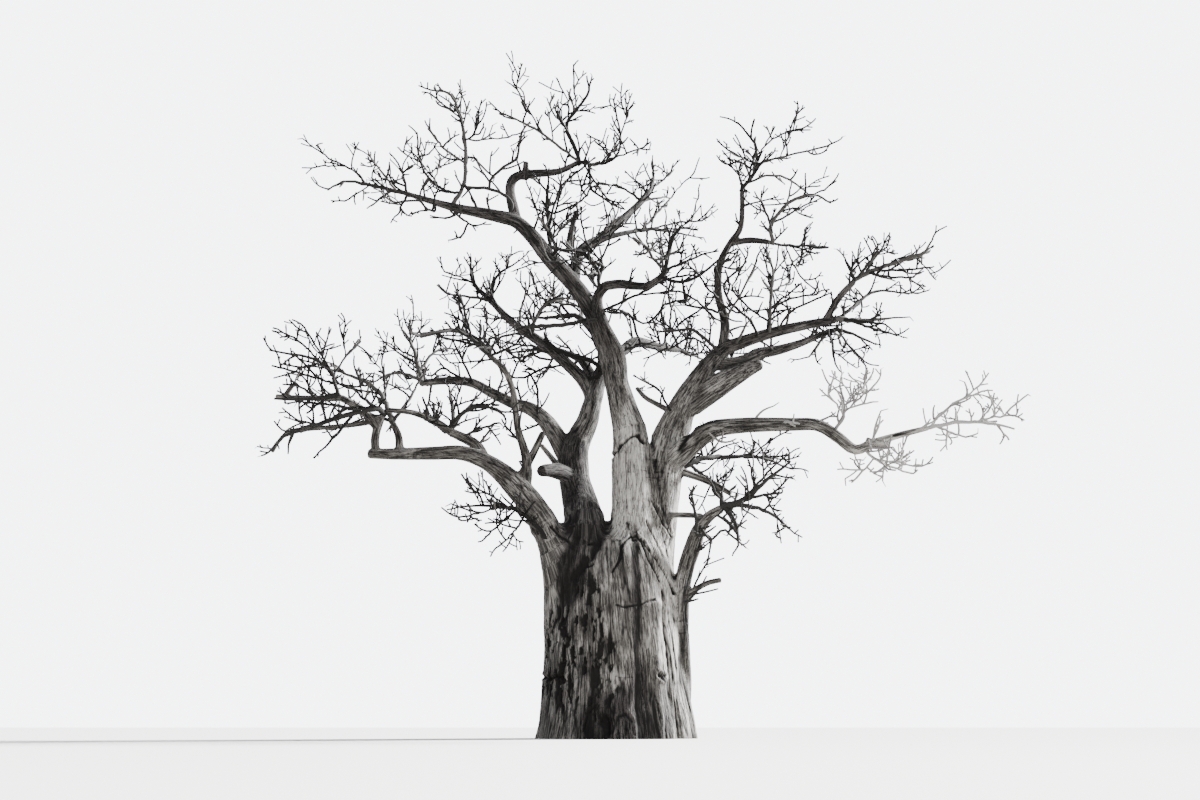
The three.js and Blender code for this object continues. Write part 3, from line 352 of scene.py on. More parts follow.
CROWN_MASSES: tuple[Mass, ...] = (
    Mass("crown_west_twigs", "crown_west_bough", (
        (-6700, -1700, 15300), (-7500, -1900, 15400), (-8100, -2200, 15000),
    ), (
        (0, 0.6, (-7400, -1700, 15800), (-8200, -1400, 16200), (-8700, -1200, 16800)),
        (0, 0.3, (-6800, -2700, 15700)), (0, 0.1, (-6100, -2500, 15700)),
        (0, 0.35, (-7000, -700, 15300)), (0, 0.08, (-6300, -900, 14800)),
    )),
    Mass("crown_rise_twigs", "crown_west_bough", (
        (-4700, -1350, 14820), (-4350, -1450, 15500), (-4300, -1600, 16300), (-4400, -1900, 17200),
        (-4700, -2100, 18000), (-5300, -2200, 18100),
    ), (
        (0, 0.13, (-5000, -1100, 15500), (-5700, -700, 16400), (-5900, -500, 17600)),
        (0, 0.35, (-4900, -2000, 16400), (-5100, -2900, 16400)), (0, 0.5, (-3800, -2500, 16600)),
        (0, 0.7, (-4500, -1200, 17900)), (1, 0.4, (-5600, 200, 16600)),
    ), diameter=140),
    Mass("crown_top_twigs", "crown_top_bough", (
        (-1300, -800, 17300), (-1400, -900, 17800), (-800, -1000, 18500), (-800, -1000, 19200),
    ), (
        (0, 0.15, (-1800, -900, 17100), (-2400, -1000, 17500), (-3400, -1000, 18000)),
        (1, 0.5, (-2600, -1400, 18000), (-2900, -1800, 18500)),
        (0, 0.05, (-500, -500, 16600), (200, -400, 17000), (0, -400, 18700)),
        (3, 0.6, (500, -1200, 18100)), (3, 0.35, (900, -1400, 16700)), (3, 0.45, (100, 600, 17800)),
        (0, 0.35, (-1700, -2000, 17600)), (0, 0.55, (-1300, 0, 19300)),
        (3, 0.1, (-600, -1300, 15700), (-200, -1800, 14900)),
    )),
    Mass("crown_inner_twigs", "middle_stem", (
        (-1650, -750, 13250), (-1900, -350, 14300), (-2000, -300, 15500),
    ), (
        (0, 0.5, (-1500, -1800, 15200)), (0, 0.45, (-1300, 300, 15300)),
        (0, 0.4, (-1200, -1400, 14500)), (0, 0.6, (-2400, 700, 15700)),
    ), diameter=120),
    Mass("crown_back_twigs", "crown_back_bough", (
        (1300, 2800, 17400), (1300, 3500, 18400),
    ), (
        (0, 0.5, (2000, 4200, 18400)), (0, 0.2, (1800, 3400, 17200)), (0, 0.1, (200, 3000, 17400)),
        (0, 0.6, (900, 4600, 18000)),
    )),
    Mass("crown_east_twigs", "crown_east_bough", (
        (1400, 1600, 15300), (2300, 2500, 15500),
    ), (
        (0, 0.5, (2500, 2300, 15900), (3100, 2700, 16200)),
        (0, 0.3, (1600, 2500, 16500), (2000, 3200, 17200)), (0, 0.6, (2400, 1500, 15300)),
        (0, 0.4, (1200, 2700, 15000)),
    )),
    Mass("front_east_twigs", "front_bough_east", (
        (1400, -3600, 12300), (1500, -4200, 12700), (1700, -5000, 12800),
    ), (
        (0, 0.1, (2000, -3900, 11700), (2700, -4800, 12000)),
        (0, 0.35, (900, -4300, 12300), (500, -5200, 12500)), (0, 0.5, (1100, -5700, 11700)),
        (0, 0.3, (2300, -3400, 12600)),
    )),
    Mass("front_inner_twigs", "inner_stem", (
        (-400, -1100, 12300), (-600, -1600, 13100), (-1500, -2300, 13200),
    ), (
        (0, 0.3, (-900, -3000, 12500)), (0, 0.5, (-900, -3300, 13500)),
        (0, 0.6, (-1900, -3200, 12500)), (0, 0.35, (-100, -2500, 13500)),
    ), diameter=120),
)
EAST_MASSES: tuple[Mass, ...] = (
    Mass("east_top_twigs", "east_rise_bough", (
        (4000, -1600, 15700), (4100, -2000, 16300), (3500, -2400, 17000),
    ), (
        (0, 0.55, (4600, -2400, 15900), (5900, -3400, 15800)),
        (0, 0.3, (4700, -1500, 15800), (5600, -1000, 15500)),
        (0, 0.65, (4600, -2300, 16600), (5300, -2800, 16600)), (0, 0.1, (3700, -600, 16300)),
        (0, 0.35, (3900, -3100, 15700)), (0, 0.6, (3100, -1600, 16700)),
    )),
    Mass("east_crook_twigs", "east_crook_bough", (
        (4600, -1500, 14500), (5400, -2200, 14900), (6000, -2700, 14400),
    ), (
        (0, 0.06, (5200, -1000, 13800), (6200, -1100, 13700)),
        (1, 0.35, (5300, -500, 13200), (6000, 300, 12900)), (0, 0.4, (5600, -900, 15100)),
        (0, 0.3, (4100, -2400, 14600)), (1, 0.4, (5600, -2200, 13100)),
    )),
    Mass("east_twigs", "east_stem", (
        (7200, 200, 11900), (8300, 200, 12000),
    ), (
        (0, 0.15, (7200, 500, 12500), (7900, 1000, 13100), (9100, 1600, 13200)),
        (0, 0.3, (7800, -700, 11500)), (1, 0.5, (7500, 1900, 12900)),
        (0, 0.45, (8500, 1000, 11700)),
    )),
    Mass("east_far_twigs", "east_far_bough", (
        (7700, -700, 13200), (8700, -1200, 13400), (9100, -1500, 13800),
    ), (
        (0, 0.4, (9200, -500, 13300)), (0, 0.35, (8300, -2200, 12400)),
        (0, 0.2, (7400, -1900, 13300)), (0, 0.3, (7900, 0, 14000)), (0, 0.1, (6600, -1300, 13300)),
    )),
    Mass("east_riser_twigs", "east_stem", (
        (4500, 60, 11450), (4650, 400, 12200), (4700, 900, 13200), (4700, 1300, 14200),
    ), (
        (0, 0.25, (4900, -500, 12300), (5700, -1600, 12100)),
        (0, 0.2, (4100, 800, 12500), (3700, 1700, 13300), (3900, 2300, 14000)),
        (0, 0.4, (5500, -300, 12900)), (0, 0.6, (5500, 1900, 13700)),
    ), diameter=120),
    Mass("east_back_twigs", "east_back_bough", (
        (7000, 1500, 12000), (8100, 2000, 11700),
    ), (
        (0, 0.15, (6700, 1400, 10900)), (0, 0.5, (7900, 2700, 11200)),
        (0, 0.3, (7200, 3000, 12000)), (0, 0.05, (6000, 2000, 11300)),
    )),
    Mass("back_east_twigs", "trunk", (
        (1500, 500, 7100), (2200, 1000, 7800), (3000, 1500, 8000), (4100, 2200, 8300),
        (5500, 3000, 8000),
    ), (
        (0, 0.25, (2800, 1700, 7400), (3500, 2600, 7200)), (0, 0.7, (5500, 4000, 8500)),
        (0, 0.6, (5200, 1900, 8200)), (0, 0.45, (3200, 2300, 8700)), (1, 0.4, (3300, 1700, 6700)),
    ), diameter=210),
)
LOW_EAST_MASSES: tuple[Mass, ...] = (
    Mass("low_east_tip_twigs", "low_east_bough", (
        (9100, -2800, 8100), (9800, -2900, 8100), (10500, -3000, 7900),
    ), (
        (0, 0.1, (8800, -3200, 8500), (9400, -3700, 8700)), (0, 0.25, (9500, -2000, 7900)),
        (0, 0.6, (10300, -3700, 8100)), (0, 0.5, (10300, -2200, 8300)),
    )),
    Mass("low_east_upper_twigs", "low_east_bough", (
        (5850, -2470, 7950), (6100, -2700, 8450), (6100, -2200, 9300),
    ), (
        (0, 0.45, (6700, -3400, 8900)), (0, 0.5, (6900, -2300, 8800)),
        (0, 0.4, (5600, -3200, 8800)),
    ), diameter=100),
    Mass("low_east_under_twigs", "low_east_bough", (
        (6600, -2600, 7500), (7100, -2200, 7150), (8100, -1500, 7000),
    ), (
        (0, 0.4, (8000, -2500, 7000)), (0, 0.3, (7100, -3100, 6800)),
        (0, 0.35, (6500, -1900, 6800)), (0, 0.5, (7500, -1000, 7400)),
    ), diameter=90),
    Mass("side_twigs", "side_stem", (
        (3400, -1000, 6250), (3900, -1500, 6600), (4700, -2200, 7200),
    ), (
        (0, 0.2, (4000, -1000, 6100), (4800, -800, 5600)),
        (0, 0.1, (3300, -1300, 5600), (3300, -1600, 5000)), (0, 0.05, (3000, -500, 6700)),
        (0, 0.5, (4400, -2400, 6300)), (0, 0.55, (4400, -1000, 7300)),
    )),
)

# Short limbs and stubs that the bark's skin takes in beside the solids' boughs
SMALL_LIMBS: tuple[Limb, ...] = (
    Limb("stem_flare", "trunk", (
        (-850, -350, 4900, 1500), (-850, -330, 5400, 1420), (-840, -130, 5750, 1290),
        (-890, 280, 6150, 1130), (-1020, 780, 6650, 1000), (-1110, 1000, 7100, 920),
    )),
    Limb("side_stub", "side_stem", (
        (1980, -400, 3820, 150), (2340, -500, 4050, 135), (2630, -600, 4150, 125),
        (2900, -650, 4200, 130),
    )),
    Limb("side_bar", "side_stem", (
        (1450, -200, 6070, 150), (1970, -400, 6030, 150), (2430, -500, 5990, 140),
    )),
    Limb("east_knee", "trunk", (
        (1770, 300, 7450, 230), (2160, 100, 7260, 180), (2520, 0, 7160, 160),
        (2890, -200, 6890, 150), (3270, -300, 6650, 120),
    )),
    Limb("stub_knob", "west_stub", (
        (-1820, 80, 7400, 330), (-1990, -140, 7370, 440), (-2080, -260, 7310, 300),
    )),
    Limb("stub_arm", "west_stub", (
        (-1560, 600, 7560, 170), (-1850, 500, 7900, 140), (-2110, 400, 8200, 110),
    )),
    Limb("front_arm", "front_bough", (
        (-2550, -1150, 7050, 210), (-2330, -1200, 7440, 185), (-2170, -1250, 7790, 165),
        (-1980, -1300, 8180, 140),
    )),
    Limb("back_arm", "east_stem", (
        (1680, 300, 9160, 150), (1210, 600, 9500, 130), (920, 800, 9730, 125),
        (690, 1000, 10060, 110),
    )),
    Limb("crown_stub", "crown_top_bough", (
        (-2620, -800, 15930, 190), (-2590, -850, 16190, 150), (-2590, -900, 16450, 140),
    )),
    Limb("hub_stub", "low_east_bough", (
        (6640, -2650, 7660, 180), (6950, -2700, 7540, 150), (7240, -2700, 7510, 140),
    )),
    Limb("crown_back_tip", "crown_back_bough", (
        (-400, 700, 14700, 215), (200, 1400, 15500, 200), (900, 2200, 16500, 175),
        (1150, 2500, 17000, 150),
    )),
    Limb("crown_knot", "crown_west_bough", (
        (-1300, -900, 13760, 200), (-1250, -1000, 14210, 150), (-1100, -1100, 14790, 110),
    )),
    Limb("west_tip", "west_far_bough", (
        (-7300, -2800, 8800, 155), (-7660, -2850, 8770, 135), (-8340, -2950, 8760, 120),
        (-8960, -3050, 8760, 130),
    ), meets=True),
    Limb("west_knob", "west_far_bough", (
        (-8760, -3020, 8760, 120), (-8590, -3020, 8960, 115), (-8540, -3020, 9120, 110),
    )),
    Limb("west_low_tip", "west_riser", (
        (-6260, -2500, 8350, 150), (-6670, -2600, 8160, 130), (-7520, -2800, 8000, 115),
        (-8490, -2950, 7870, 105), (-8790, -3050, 7600, 90), (-8960, -3100, 7260, 80),
    )),
    Limb("front_tip", "front_bough", (
        (-3300, -3300, 9800, 120), (-3520, -3350, 10110, 118), (-3910, -3450, 10420, 112),
        (-4500, -3550, 10440, 100), (-5130, -3650, 10240, 90),
    ), meets=True),
    Limb("upper_tip", "west_upper_bough", (
        (-4500, -1550, 8150, 190), (-4750, -1750, 8300, 170), (-5150, -1950, 8520, 145),
        (-5630, -2200, 8560, 125), (-6150, -2450, 8550, 115),
    ), meets=True),
)

# Thicker twigs that stand on a bough, by their carrier: diameter, depth of the first
# point and its step to each next one, then the points across and up
SPRIGS: dict[str, tuple[tuple, ...]] = {
    "crown_west_bough": (
        (110, -1100, -120, (-1670, 13620), (-1880, 14250), (-1900, 14600), (-1960, 14860),
         (-1900, 15430)),
        (65, -1300, -120, (-1870, 14280), (-1560, 15400), (-980, 15910)),
        (110, -1200, -120, (-2960, 15030), (-3300, 15290), (-3730, 15390), (-4260, 15370)),
        (90, -1300, -120, (-3650, 15450), (-3510, 15750), (-3100, 16070), (-2800, 16230),
         (-2720, 16740), (-2650, 16960)),
        (60, -1200, -120, (-3520, 15840), (-3900, 16200), (-4130, 16360)),
        (75, -1500, -120, (-5090, 14900), (-5150, 14610), (-5370, 14650), (-5590, 14840),
         (-6220, 14700)),
        (65, -1600, -120, (-4730, 14770), (-4390, 14350), (-4150, 14150), (-4350, 13650)),
    ),
    "crown_top_bough": (
        (85, -900, -120, (-760, 16450), (-700, 15830), (-640, 15460), (-150, 15040)),
        (65, -700, -120, (-700, 15780), (-790, 15440), (-1140, 15080), (-1800, 14750)),
    ),
    "inner_stem": (
        (90, -900, -120, (-460, 12540), (-690, 12800), (-920, 13000)),
        (140, -200, -120, (-700, 11860), (-1130, 11670), (-1560, 11570), (-1990, 11500),
         (-2560, 11430)),
        (130, -1300, -120, (-320, 13000), (-580, 13140), (-800, 13270), (-1030, 13380),
         (-1540, 13360)),
        (85, -950, -120, (-210, 11880), (380, 12150), (880, 12330), (1460, 12640), (2040, 12730)),
        (65, -1100, -120, (540, 12190), (1210, 12280), (1960, 12240), (2480, 11800), (2840, 11370)),
        (65, -900, -100, (-210, 11790), (370, 11690), (870, 11390), (1210, 11620)),
    ),
    "back_bough": (
        (90, 900, 150, (790, 11430), (650, 11880), (500, 12430), (-40, 12510)),
        (85, 1300, 150, (1470, 11480), (1570, 12000), (1500, 12790), (2220, 13060)),
        (75, 1900, 150, (1700, 11530), (2260, 11910), (2770, 11810), (3180, 11430)),
        (65, 2100, 150, (1990, 12310), (2470, 12740), (3040, 13170)),
    ),
    "west_high_bough": (
        (90, 2300, 150, (-2900, 12360), (-2880, 12970), (-2740, 13680)),
        (100, 2100, 150, (-2570, 12040), (-2430, 12580), (-1970, 13180), (-1040, 13100)),
        (90, 2300, 150, (-2580, 12070), (-3060, 12180), (-3440, 12160), (-3640, 12040),
         (-3990, 11730)),
        (85, 2000, 150, (-1940, 11210), (-2560, 11410), (-2820, 11300), (-3270, 11600)),
        (80, 1900, 150, (-1630, 10990), (-2150, 10970), (-2710, 10720), (-3120, 10760)),
        (150, 1300, 150, (-320, 10640), (-710, 11050), (-1170, 11220), (-1690, 11460),
         (-2100, 11880)),
    ),
    "west_back_bough": (
        (85, 1600, 150, (-2300, 9470), (-2280, 9880), (-2350, 10390), (-2610, 10840)),
        (85, 2200, 150, (-3310, 9930), (-3550, 10350), (-3410, 10770), (-3590, 11270)),
        (85, 2900, 150, (-4410, 10820), (-4620, 11250), (-4770, 11550), (-5030, 12090)),
        (80, 3000, 150, (-4540, 10780), (-5140, 11140), (-5350, 11320), (-5770, 11090)),
    ),
    "west_upper_bough": (
        (75, -1500, -120, (-4190, 8050), (-3690, 8220), (-3140, 8360)),
        (75, -1500, -120, (-4390, 8360), (-4120, 8750), (-3640, 8860), (-3000, 8530)),
    ),
    "west_bough": (
        (80, -2000, -120, (-5390, 7410), (-5470, 7800), (-5570, 8050)),
        (75, -1800, -120, (-4660, 7450), (-4800, 7930), (-4580, 8260)),
        (60, -2300, -120, (-6020, 7350), (-6120, 7140), (-6410, 6900)),
    ),
    "east_stem": (
        (110, -200, -120, (3040, 10830), (2630, 11180), (2250, 11420), (1550, 11350)),
        (85, -200, -120, (4540, 11550), (4580, 12370), (4650, 13250), (4500, 13640)),
        (85, -300, -120, (4140, 11370), (3850, 11820), (3440, 12140), (3190, 12710), (3590, 13130)),
        (80, -100, -120, (4850, 11610), (5200, 12090), (5950, 12420)),
        (75, -200, -120, (1540, 9160), (1310, 9600), (1020, 9800)),
    ),
    "east_rise_bough": (
        (85, -600, -120, (3000, 11910), (2620, 11990), (2090, 12040), (2000, 12390)),
        (75, -500, -120, (3240, 11820), (3710, 12510), (4150, 13450)),
        (70, -600, -120, (2950, 12400), (2660, 12660), (2370, 13110)),
    ),
    "side_stem": (
        (75, -800, -120, (2350, 5640), (2630, 5260), (2930, 5520), (3210, 5310)),
        (95, -800, -120, (2260, 5420), (2230, 5950), (2120, 6430)),
    ),
}

# Folds round the trunk: how many, where they start in radians, and their weight
TRUNK_FOLDS = ((5, 0.7, 0.6), (9, 2.1, 0.4))

# The solids' rule for twigs, in millimetres, degrees and shares
GAP = 0.3
TWIG_TIP_DIAMETER = 38
LEADER_THINNING = 0.72
SIDE_THINNING = 0.62
LEAD_IN = 0.8
TWIG_KINK = 0.05
SIDE_SPACING = 1800
SIDE_STRETCH = (0.3, 0.95)
SIDE_LENGTH = (0.3, 0.5)
SIDE_SHORTENING = (1.2, 0.7)
SIDE_BOUNDS = (350, 950)
SIDE_ANGLE = (42, 70)
SIDE_LIFT = 0.3
SIDE_RISE = 0.1
GOLDEN_TURN = 2.39996
TWIG_CLEARANCE = 40
BOUGH_RING_SPACING = 750
PARALLEL_SINE = 0.15


class Stream:
    """Random shares from 0 to 1, the same in each run for the same name."""

    MASK = 0xFFFFFFFF
    FIRST = 2166136261
    FACTOR = 16777619
    STEP = 0x6D2B79F5

    def __init__(self, name: str) -> None:
        """Starts the stream of this name.

        Args:
            name: What the stream is for.
        """
        state = self.FIRST
        for letter in name:
            state = ((state ^ ord(letter)) * self.FACTOR) & self.MASK
        self.state = state

    def __call__(self) -> float:
        """The next share.

        Returns:
            A share from 0 to 1.
        """
        self.state = (self.state + self.STEP) & self.MASK
        mix = ((self.state ^ (self.state >> 15)) * (1 | self.state)) & self.MASK
        turned = ((mix ^ (mix >> 7)) * (61 | mix)) & self.MASK
        mix = ((mix + turned) & self.MASK) ^ mix
        return (mix ^ (mix >> 14)) / (self.MASK + 1)

    def between(self, bounds: Bounds) -> float:
        """A value between two bounds."""
        return between(bounds, self())

    def nudge(self, size: float = 1) -> Vector:
        """A nudge of up to half a size each way along every axis."""
        return Vector([(self() - 0.5) * size for _ in range(3)])


def between(bounds: Bounds, share: float) -> float:
    """The value at a share of the way between two bounds."""
    return bounds[0] + (bounds[1] - bounds[0]) * share


def smooth(values: list[float], share: float) -> float:
    """The value at a share of the way through a row of numbers, on a smooth curve.

    Args:
        values: The row of numbers.
        share: How far through the row, from 0 to 1.

    Returns:
        The value there.
    """
    spans = len(values) - 1
    span = min(int(share * spans), spans - 1)
    t = share * spans - span
    p1, p2 = values[span], values[span + 1]
    p0 = values[span - 1] if span > 0 else 2 * p1 - p2
    p3 = values[span + 2] if span + 2 < len(values) else 2 * p2 - p1
    bend = (2 * p0 - 5 * p1 + 4 * p2 - p3) * t * t
    twist = (3 * p1 - p0 - 3 * p2 + p3) * t * t * t
    return 0.5 * (2 * p1 + (p2 - p0) * t + bend + twist)


@dataclass
class Path:
    """A limb or twig as stations along its middle, in millimetres, with its radius."""

    points: list[Vector]
    radii: list[float]

    @classmethod
    def along(cls, line: Table, count: int) -> Path:
        """Stations along a smooth curve through points with their diameter.

        Args:
            line: The points, each with a diameter.
            count: How many joints to make.

        Returns:
            The path.
        """
        columns = list(zip(*line))
        shares = [i / count for i in range(count + 1)]
        points = [Vector([smooth(columns[axis], share) for axis in range(3)]) for share in shares]
        return cls(points, [smooth(columns[3], share) / 2 for share in shares])

    def length(self) -> float:
        """Its length over the stations."""
        return sum((b - a).length for a, b in zip(self.points, self.points[1:]))

    def direction(self, i: int) -> Vector:
        """The way that it runs at a station."""
        last = len(self.points) - 1
        return (self.points[min(i + 1, last)] - self.points[max(i - 1, 0)]).normalized()

    def at(self, share: float) -> tuple[Vector, float, Vector]:
        """The place, the radius and the way that it runs at a share of its joints.

        Args:
            share: How far along its joints, from 0 to 1.

        Returns:
            The place, the radius and the way.
        """
        place = share * (len(self.points) - 1)
        i = min(int(place), len(self.points) - 2)
        a, b = self.points[i], self.points[i + 1]
        radius = self.radii[i] + (self.radii[i + 1] - self.radii[i]) * (place - i)
        return a.lerp(b, place - i), radius, (b - a).normalized()

    def finer(self, spacing: float) -> Path:
        """The same path on a smooth curve with closer stations, about `spacing` apart."""
        line = [(*point, 2 * radius) for point, radius in zip(self.points, self.radii)]
        return Path.along(line, max(2, math.ceil(self.length() / spacing)))


def line_length(line: Table) -> float:
    """The length of a row of points."""
    return sum(math.dist(a[:3], b[:3]) for a, b in zip(line, line[1:]))


class Skeleton:
    """The middles of the stems and boughs, as the solids have them."""

    def __init__(self) -> None:
        """Lays out every stem and bough."""
        self.stems = {name: self._path(line) for name, line in TRUNK_STEMS.items()}
        self.boughs: dict[str, Path] = {}
        self.carriers: dict[str, Limb] = {}
        for limb in LIMBS:
            path = self._path(limb.line)
            if limb.meets:
                carrier = self.path(limb.carrier)
                path.points[0] += carrier.direction(len(carrier.points) - 1) * GAP
            self.boughs[limb.name] = path
            self.carriers[limb.name] = limb
        self.small = {limb.name: self._path(limb.line) for limb in SMALL_LIMBS}

    @staticmethod
    def _path(line: Table) -> Path:
        """A limb's stations as the solids space them."""
        return Path.along(line, math.ceil(line_length(line) / BOUGH_RING_SPACING))

    def path(self, name: str) -> Path:
        """The path of a stem or bough."""
        return self.stems[name] if name in self.stems else self.boughs[name]

    def solid_paths(self) -> dict[str, Path]:
        """Every stem and bough that the solids have, by name."""
        return {**self.stems, **self.boughs}

    def all_paths(self) -> dict[str, Path]:
        """The same with the short limbs."""
        return {**self.solid_paths(), **self.small}


class Noise:
    """Smooth random fields over space, worked out on arrays of points."""

    CORNER_FACTORS = (374761393, 668265263, 2147483647)
    CLEFT_WIDTH = 0.16

    @classmethod
    def _corner(cls, corner: tuple[Array, Array, Array], seed: int) -> Array:
        """A random value for each whole-numbered corner.

        Args:
            corner: The corners' numbers along each axis.
            seed: The field's seed.

        Returns:
            Values from -1 to 1.
        """
        mix = np.uint32((seed * 144665) & Stream.MASK)
        for place, factor in zip(corner, cls.CORNER_FACTORS):
            mix = mix + place.astype(np.uint32) * np.uint32(factor)
        for shift, factor in ((13, 1274126177), (16, 2246822519)):
            mix = (mix ^ (mix >> np.uint32(shift))) * np.uint32(factor)
        mix = (mix ^ (mix >> np.uint32(15))) & np.uint32(0xFFFFFF)
        return mix.astype(np.float32) / 0x800000 - 1

    @classmethod
    def field(cls, points: Array, scale: Triple, seed: int) -> Array:
        """A field from -1 to 1 that changes over `scale` metres along each axis.

        Args:
            points: Places, n by 3.
            scale: The metres that a change takes, by axis.
            seed: The field's seed.

        Returns:
            The field's value at each place.
        """
        at = points / np.array(scale, np.float32) + np.float32(1000 + 17.3 * seed)
        low = np.floor(at)
        t = (at - low).astype(np.float32)
        t = t * t * (3 - 2 * t)
        ix, iy, iz = (low[:, axis].astype(np.int64) for axis in range(3))
        total = np.zeros(len(points), np.float32)
        for corner in range(8):
            dx, dy, dz = corner & 1, (corner >> 1) & 1, corner >> 2
            weight = (
                (t[:, 0] if dx else 1 - t[:, 0])
                * (t[:, 1] if dy else 1 - t[:, 1])
                * (t[:, 2] if dz else 1 - t[:, 2])
            )
            total += weight * cls._corner((ix + dx, iy + dy, iz + dz), seed)
        return total

    @classmethod
    def octaves(cls, points: Array, scale: Triple, seed: int, count: int) -> Array:
        """Several fields, each half as large and half as strong as the one before.

        Args:
            points: Places, n by 3.
            scale: The largest field's scale.
            seed: Its seed.
            count: How many fields.

        Returns:
            Their sum at each place, from -1 to 1.
        """
        total = np.zeros(len(points), np.float32)
        for step in range(count):
            finer = tuple(value / 2**step for value in scale)
            total += cls.field(points, finer, seed + 31 * step) / 2**step
        return total / (2 - 2 ** (1 - count))

    @classmethod
    def clefts(cls, points: Array, scale: Triple, seed: int) -> Array:
        """Narrow lines where a field crosses zero: 1 in the line, 0 away from it."""
        value = np.abs(cls.octaves(points, scale, seed, 2))
        return np.clip(1 - value / cls.CLEFT_WIDTH, 0, 1) ** 1.5


@dataclass(frozen=True)
class Layer:
    """A layer of the bark's relief, with how far it stands out or goes in and how dark it is
    painted: painted shade in its clefts, and for the streaks a tone of their own.
    """

    scale: Triple
    seed: int
    height: float = 0.0
    dark: float = 0.0
    count: int = 2

    def waves(self, points: Array) -> Array:
        """The layer as soft waves from -1 to 1."""
        return Noise.octaves(points, self.scale, self.seed, self.count)

    def clefts(self, points: Array) -> Array:
        """The layer as narrow clefts from 0 to 1."""
        return Noise.clefts(points, self.scale, self.seed)


def rise(low: float, high: float, values: Array) -> Array:
    """A smooth step from 0 at `low` to 1 at `high`."""
    t = np.clip((values - low) / (high - low), 0, 1)
    return t * t * (3 - 2 * t)


def grid_mesh(name: str, points: Array, quads: Array, triangles: Array) -> Mesh:
    """A smooth-shaded mesh from arrays.

    Args:
        name: The mesh's name.
        points: Its corners, n by 3.
        quads: Its four-sided faces, n by 4.
        triangles: Its three-sided faces, n by 3.

    Returns:
        The mesh.
    """
    mesh = bpy.data.meshes.new(name)
    mesh.vertices.add(len(points))
    mesh.vertices.foreach_set("co", np.ascontiguousarray(points, np.float32).ravel())
    corners = np.concatenate((quads.ravel(), triangles.ravel())).astype(np.int32)
    mesh.loops.add(len(corners))
    mesh.loops.foreach_set("vertex_index", corners)
    sizes = np.concatenate((np.full(len(quads), 4), np.full(len(triangles), 3)))
    starts = np.concatenate(([0], np.cumsum(sizes)[:-1])).astype(np.int32)
    mesh.polygons.add(len(sizes))
    mesh.polygons.foreach_set("loop_start", starts)
    mesh.polygons.foreach_set("use_smooth", np.ones(len(sizes), bool))
    mesh.update(calc_edges=True)
    return mesh


def add_attribute(mesh: Mesh, name: str, values: Array) -> None:
    """Keeps a value or a vector for each corner point of a mesh.

    Args:
        mesh: The mesh.
        name: The attribute's name.
        values: A number or a vector for each point.
    """
    kind, key = ("FLOAT", "value") if values.ndim == 1 else ("FLOAT_VECTOR", "vector")
    attribute = mesh.attributes.new(name, kind, "POINT")
    attribute.data.foreach_set(key, np.ascontiguousarray(values, np.float32).ravel())


def show(name: str, mesh: Mesh) -> Object:
    """An object of this mesh in the scene, at the origin.

    Args:
        name: The object's name.
        mesh: Its mesh.

    Returns:
        The object.
    """
    piece = bpy.data.objects.new(name, mesh)
    bpy.context.scene.collection.objects.link(piece)
    return piece


def made_plain(piece: Object, name: str) -> Mesh:
    """The mesh that an object's modifiers give. The object itself is removed.

    Args:
        piece: The object.
        name: The new mesh's name.

    Returns:
        The mesh.
    """
    bpy.context.view_layer.update()
    seen = piece.evaluated_get(bpy.context.evaluated_depsgraph_get())
    mesh = bpy.data.meshes.new_from_object(seen)
    mesh.name = name
    source = piece.data
    piece.modifiers.clear()
    bpy.data.objects.remove(piece)
    bpy.data.meshes.remove(source)
    return mesh


@dataclass(frozen=True)
class Crease:
    """A fold, crack or furrow down the front of the trunk.

    Its line is in metres across and up, and its depth, its width and how far its rims
    stand up are in metres.
    """

    line: Table
    width: float
    depth: float
    lip: float = 0.0
    shade: float = 1.0

    def distance(self, across: Array, up: Array) -> Array:
        """How far points are from the line, as the front shows them.

        Args:
            across: The points' places across.
            up: Their heights.

        Returns:
            The distances.
        """
        best = np.full(len(across), np.inf, np.float32)
        for (x0, z0), (x1, z1) in zip(self.line, self.line[1:]):
            dx, dz = x1 - x0, z1 - z0
            t = np.clip(((across - x0) * dx + (up - z0) * dz) / (dx * dx + dz * dz), 0, 1)
            gap = np.hypot(across - x0 - t * dx, up - z0 - t * dz)
            best = np.minimum(best, gap)
        return best


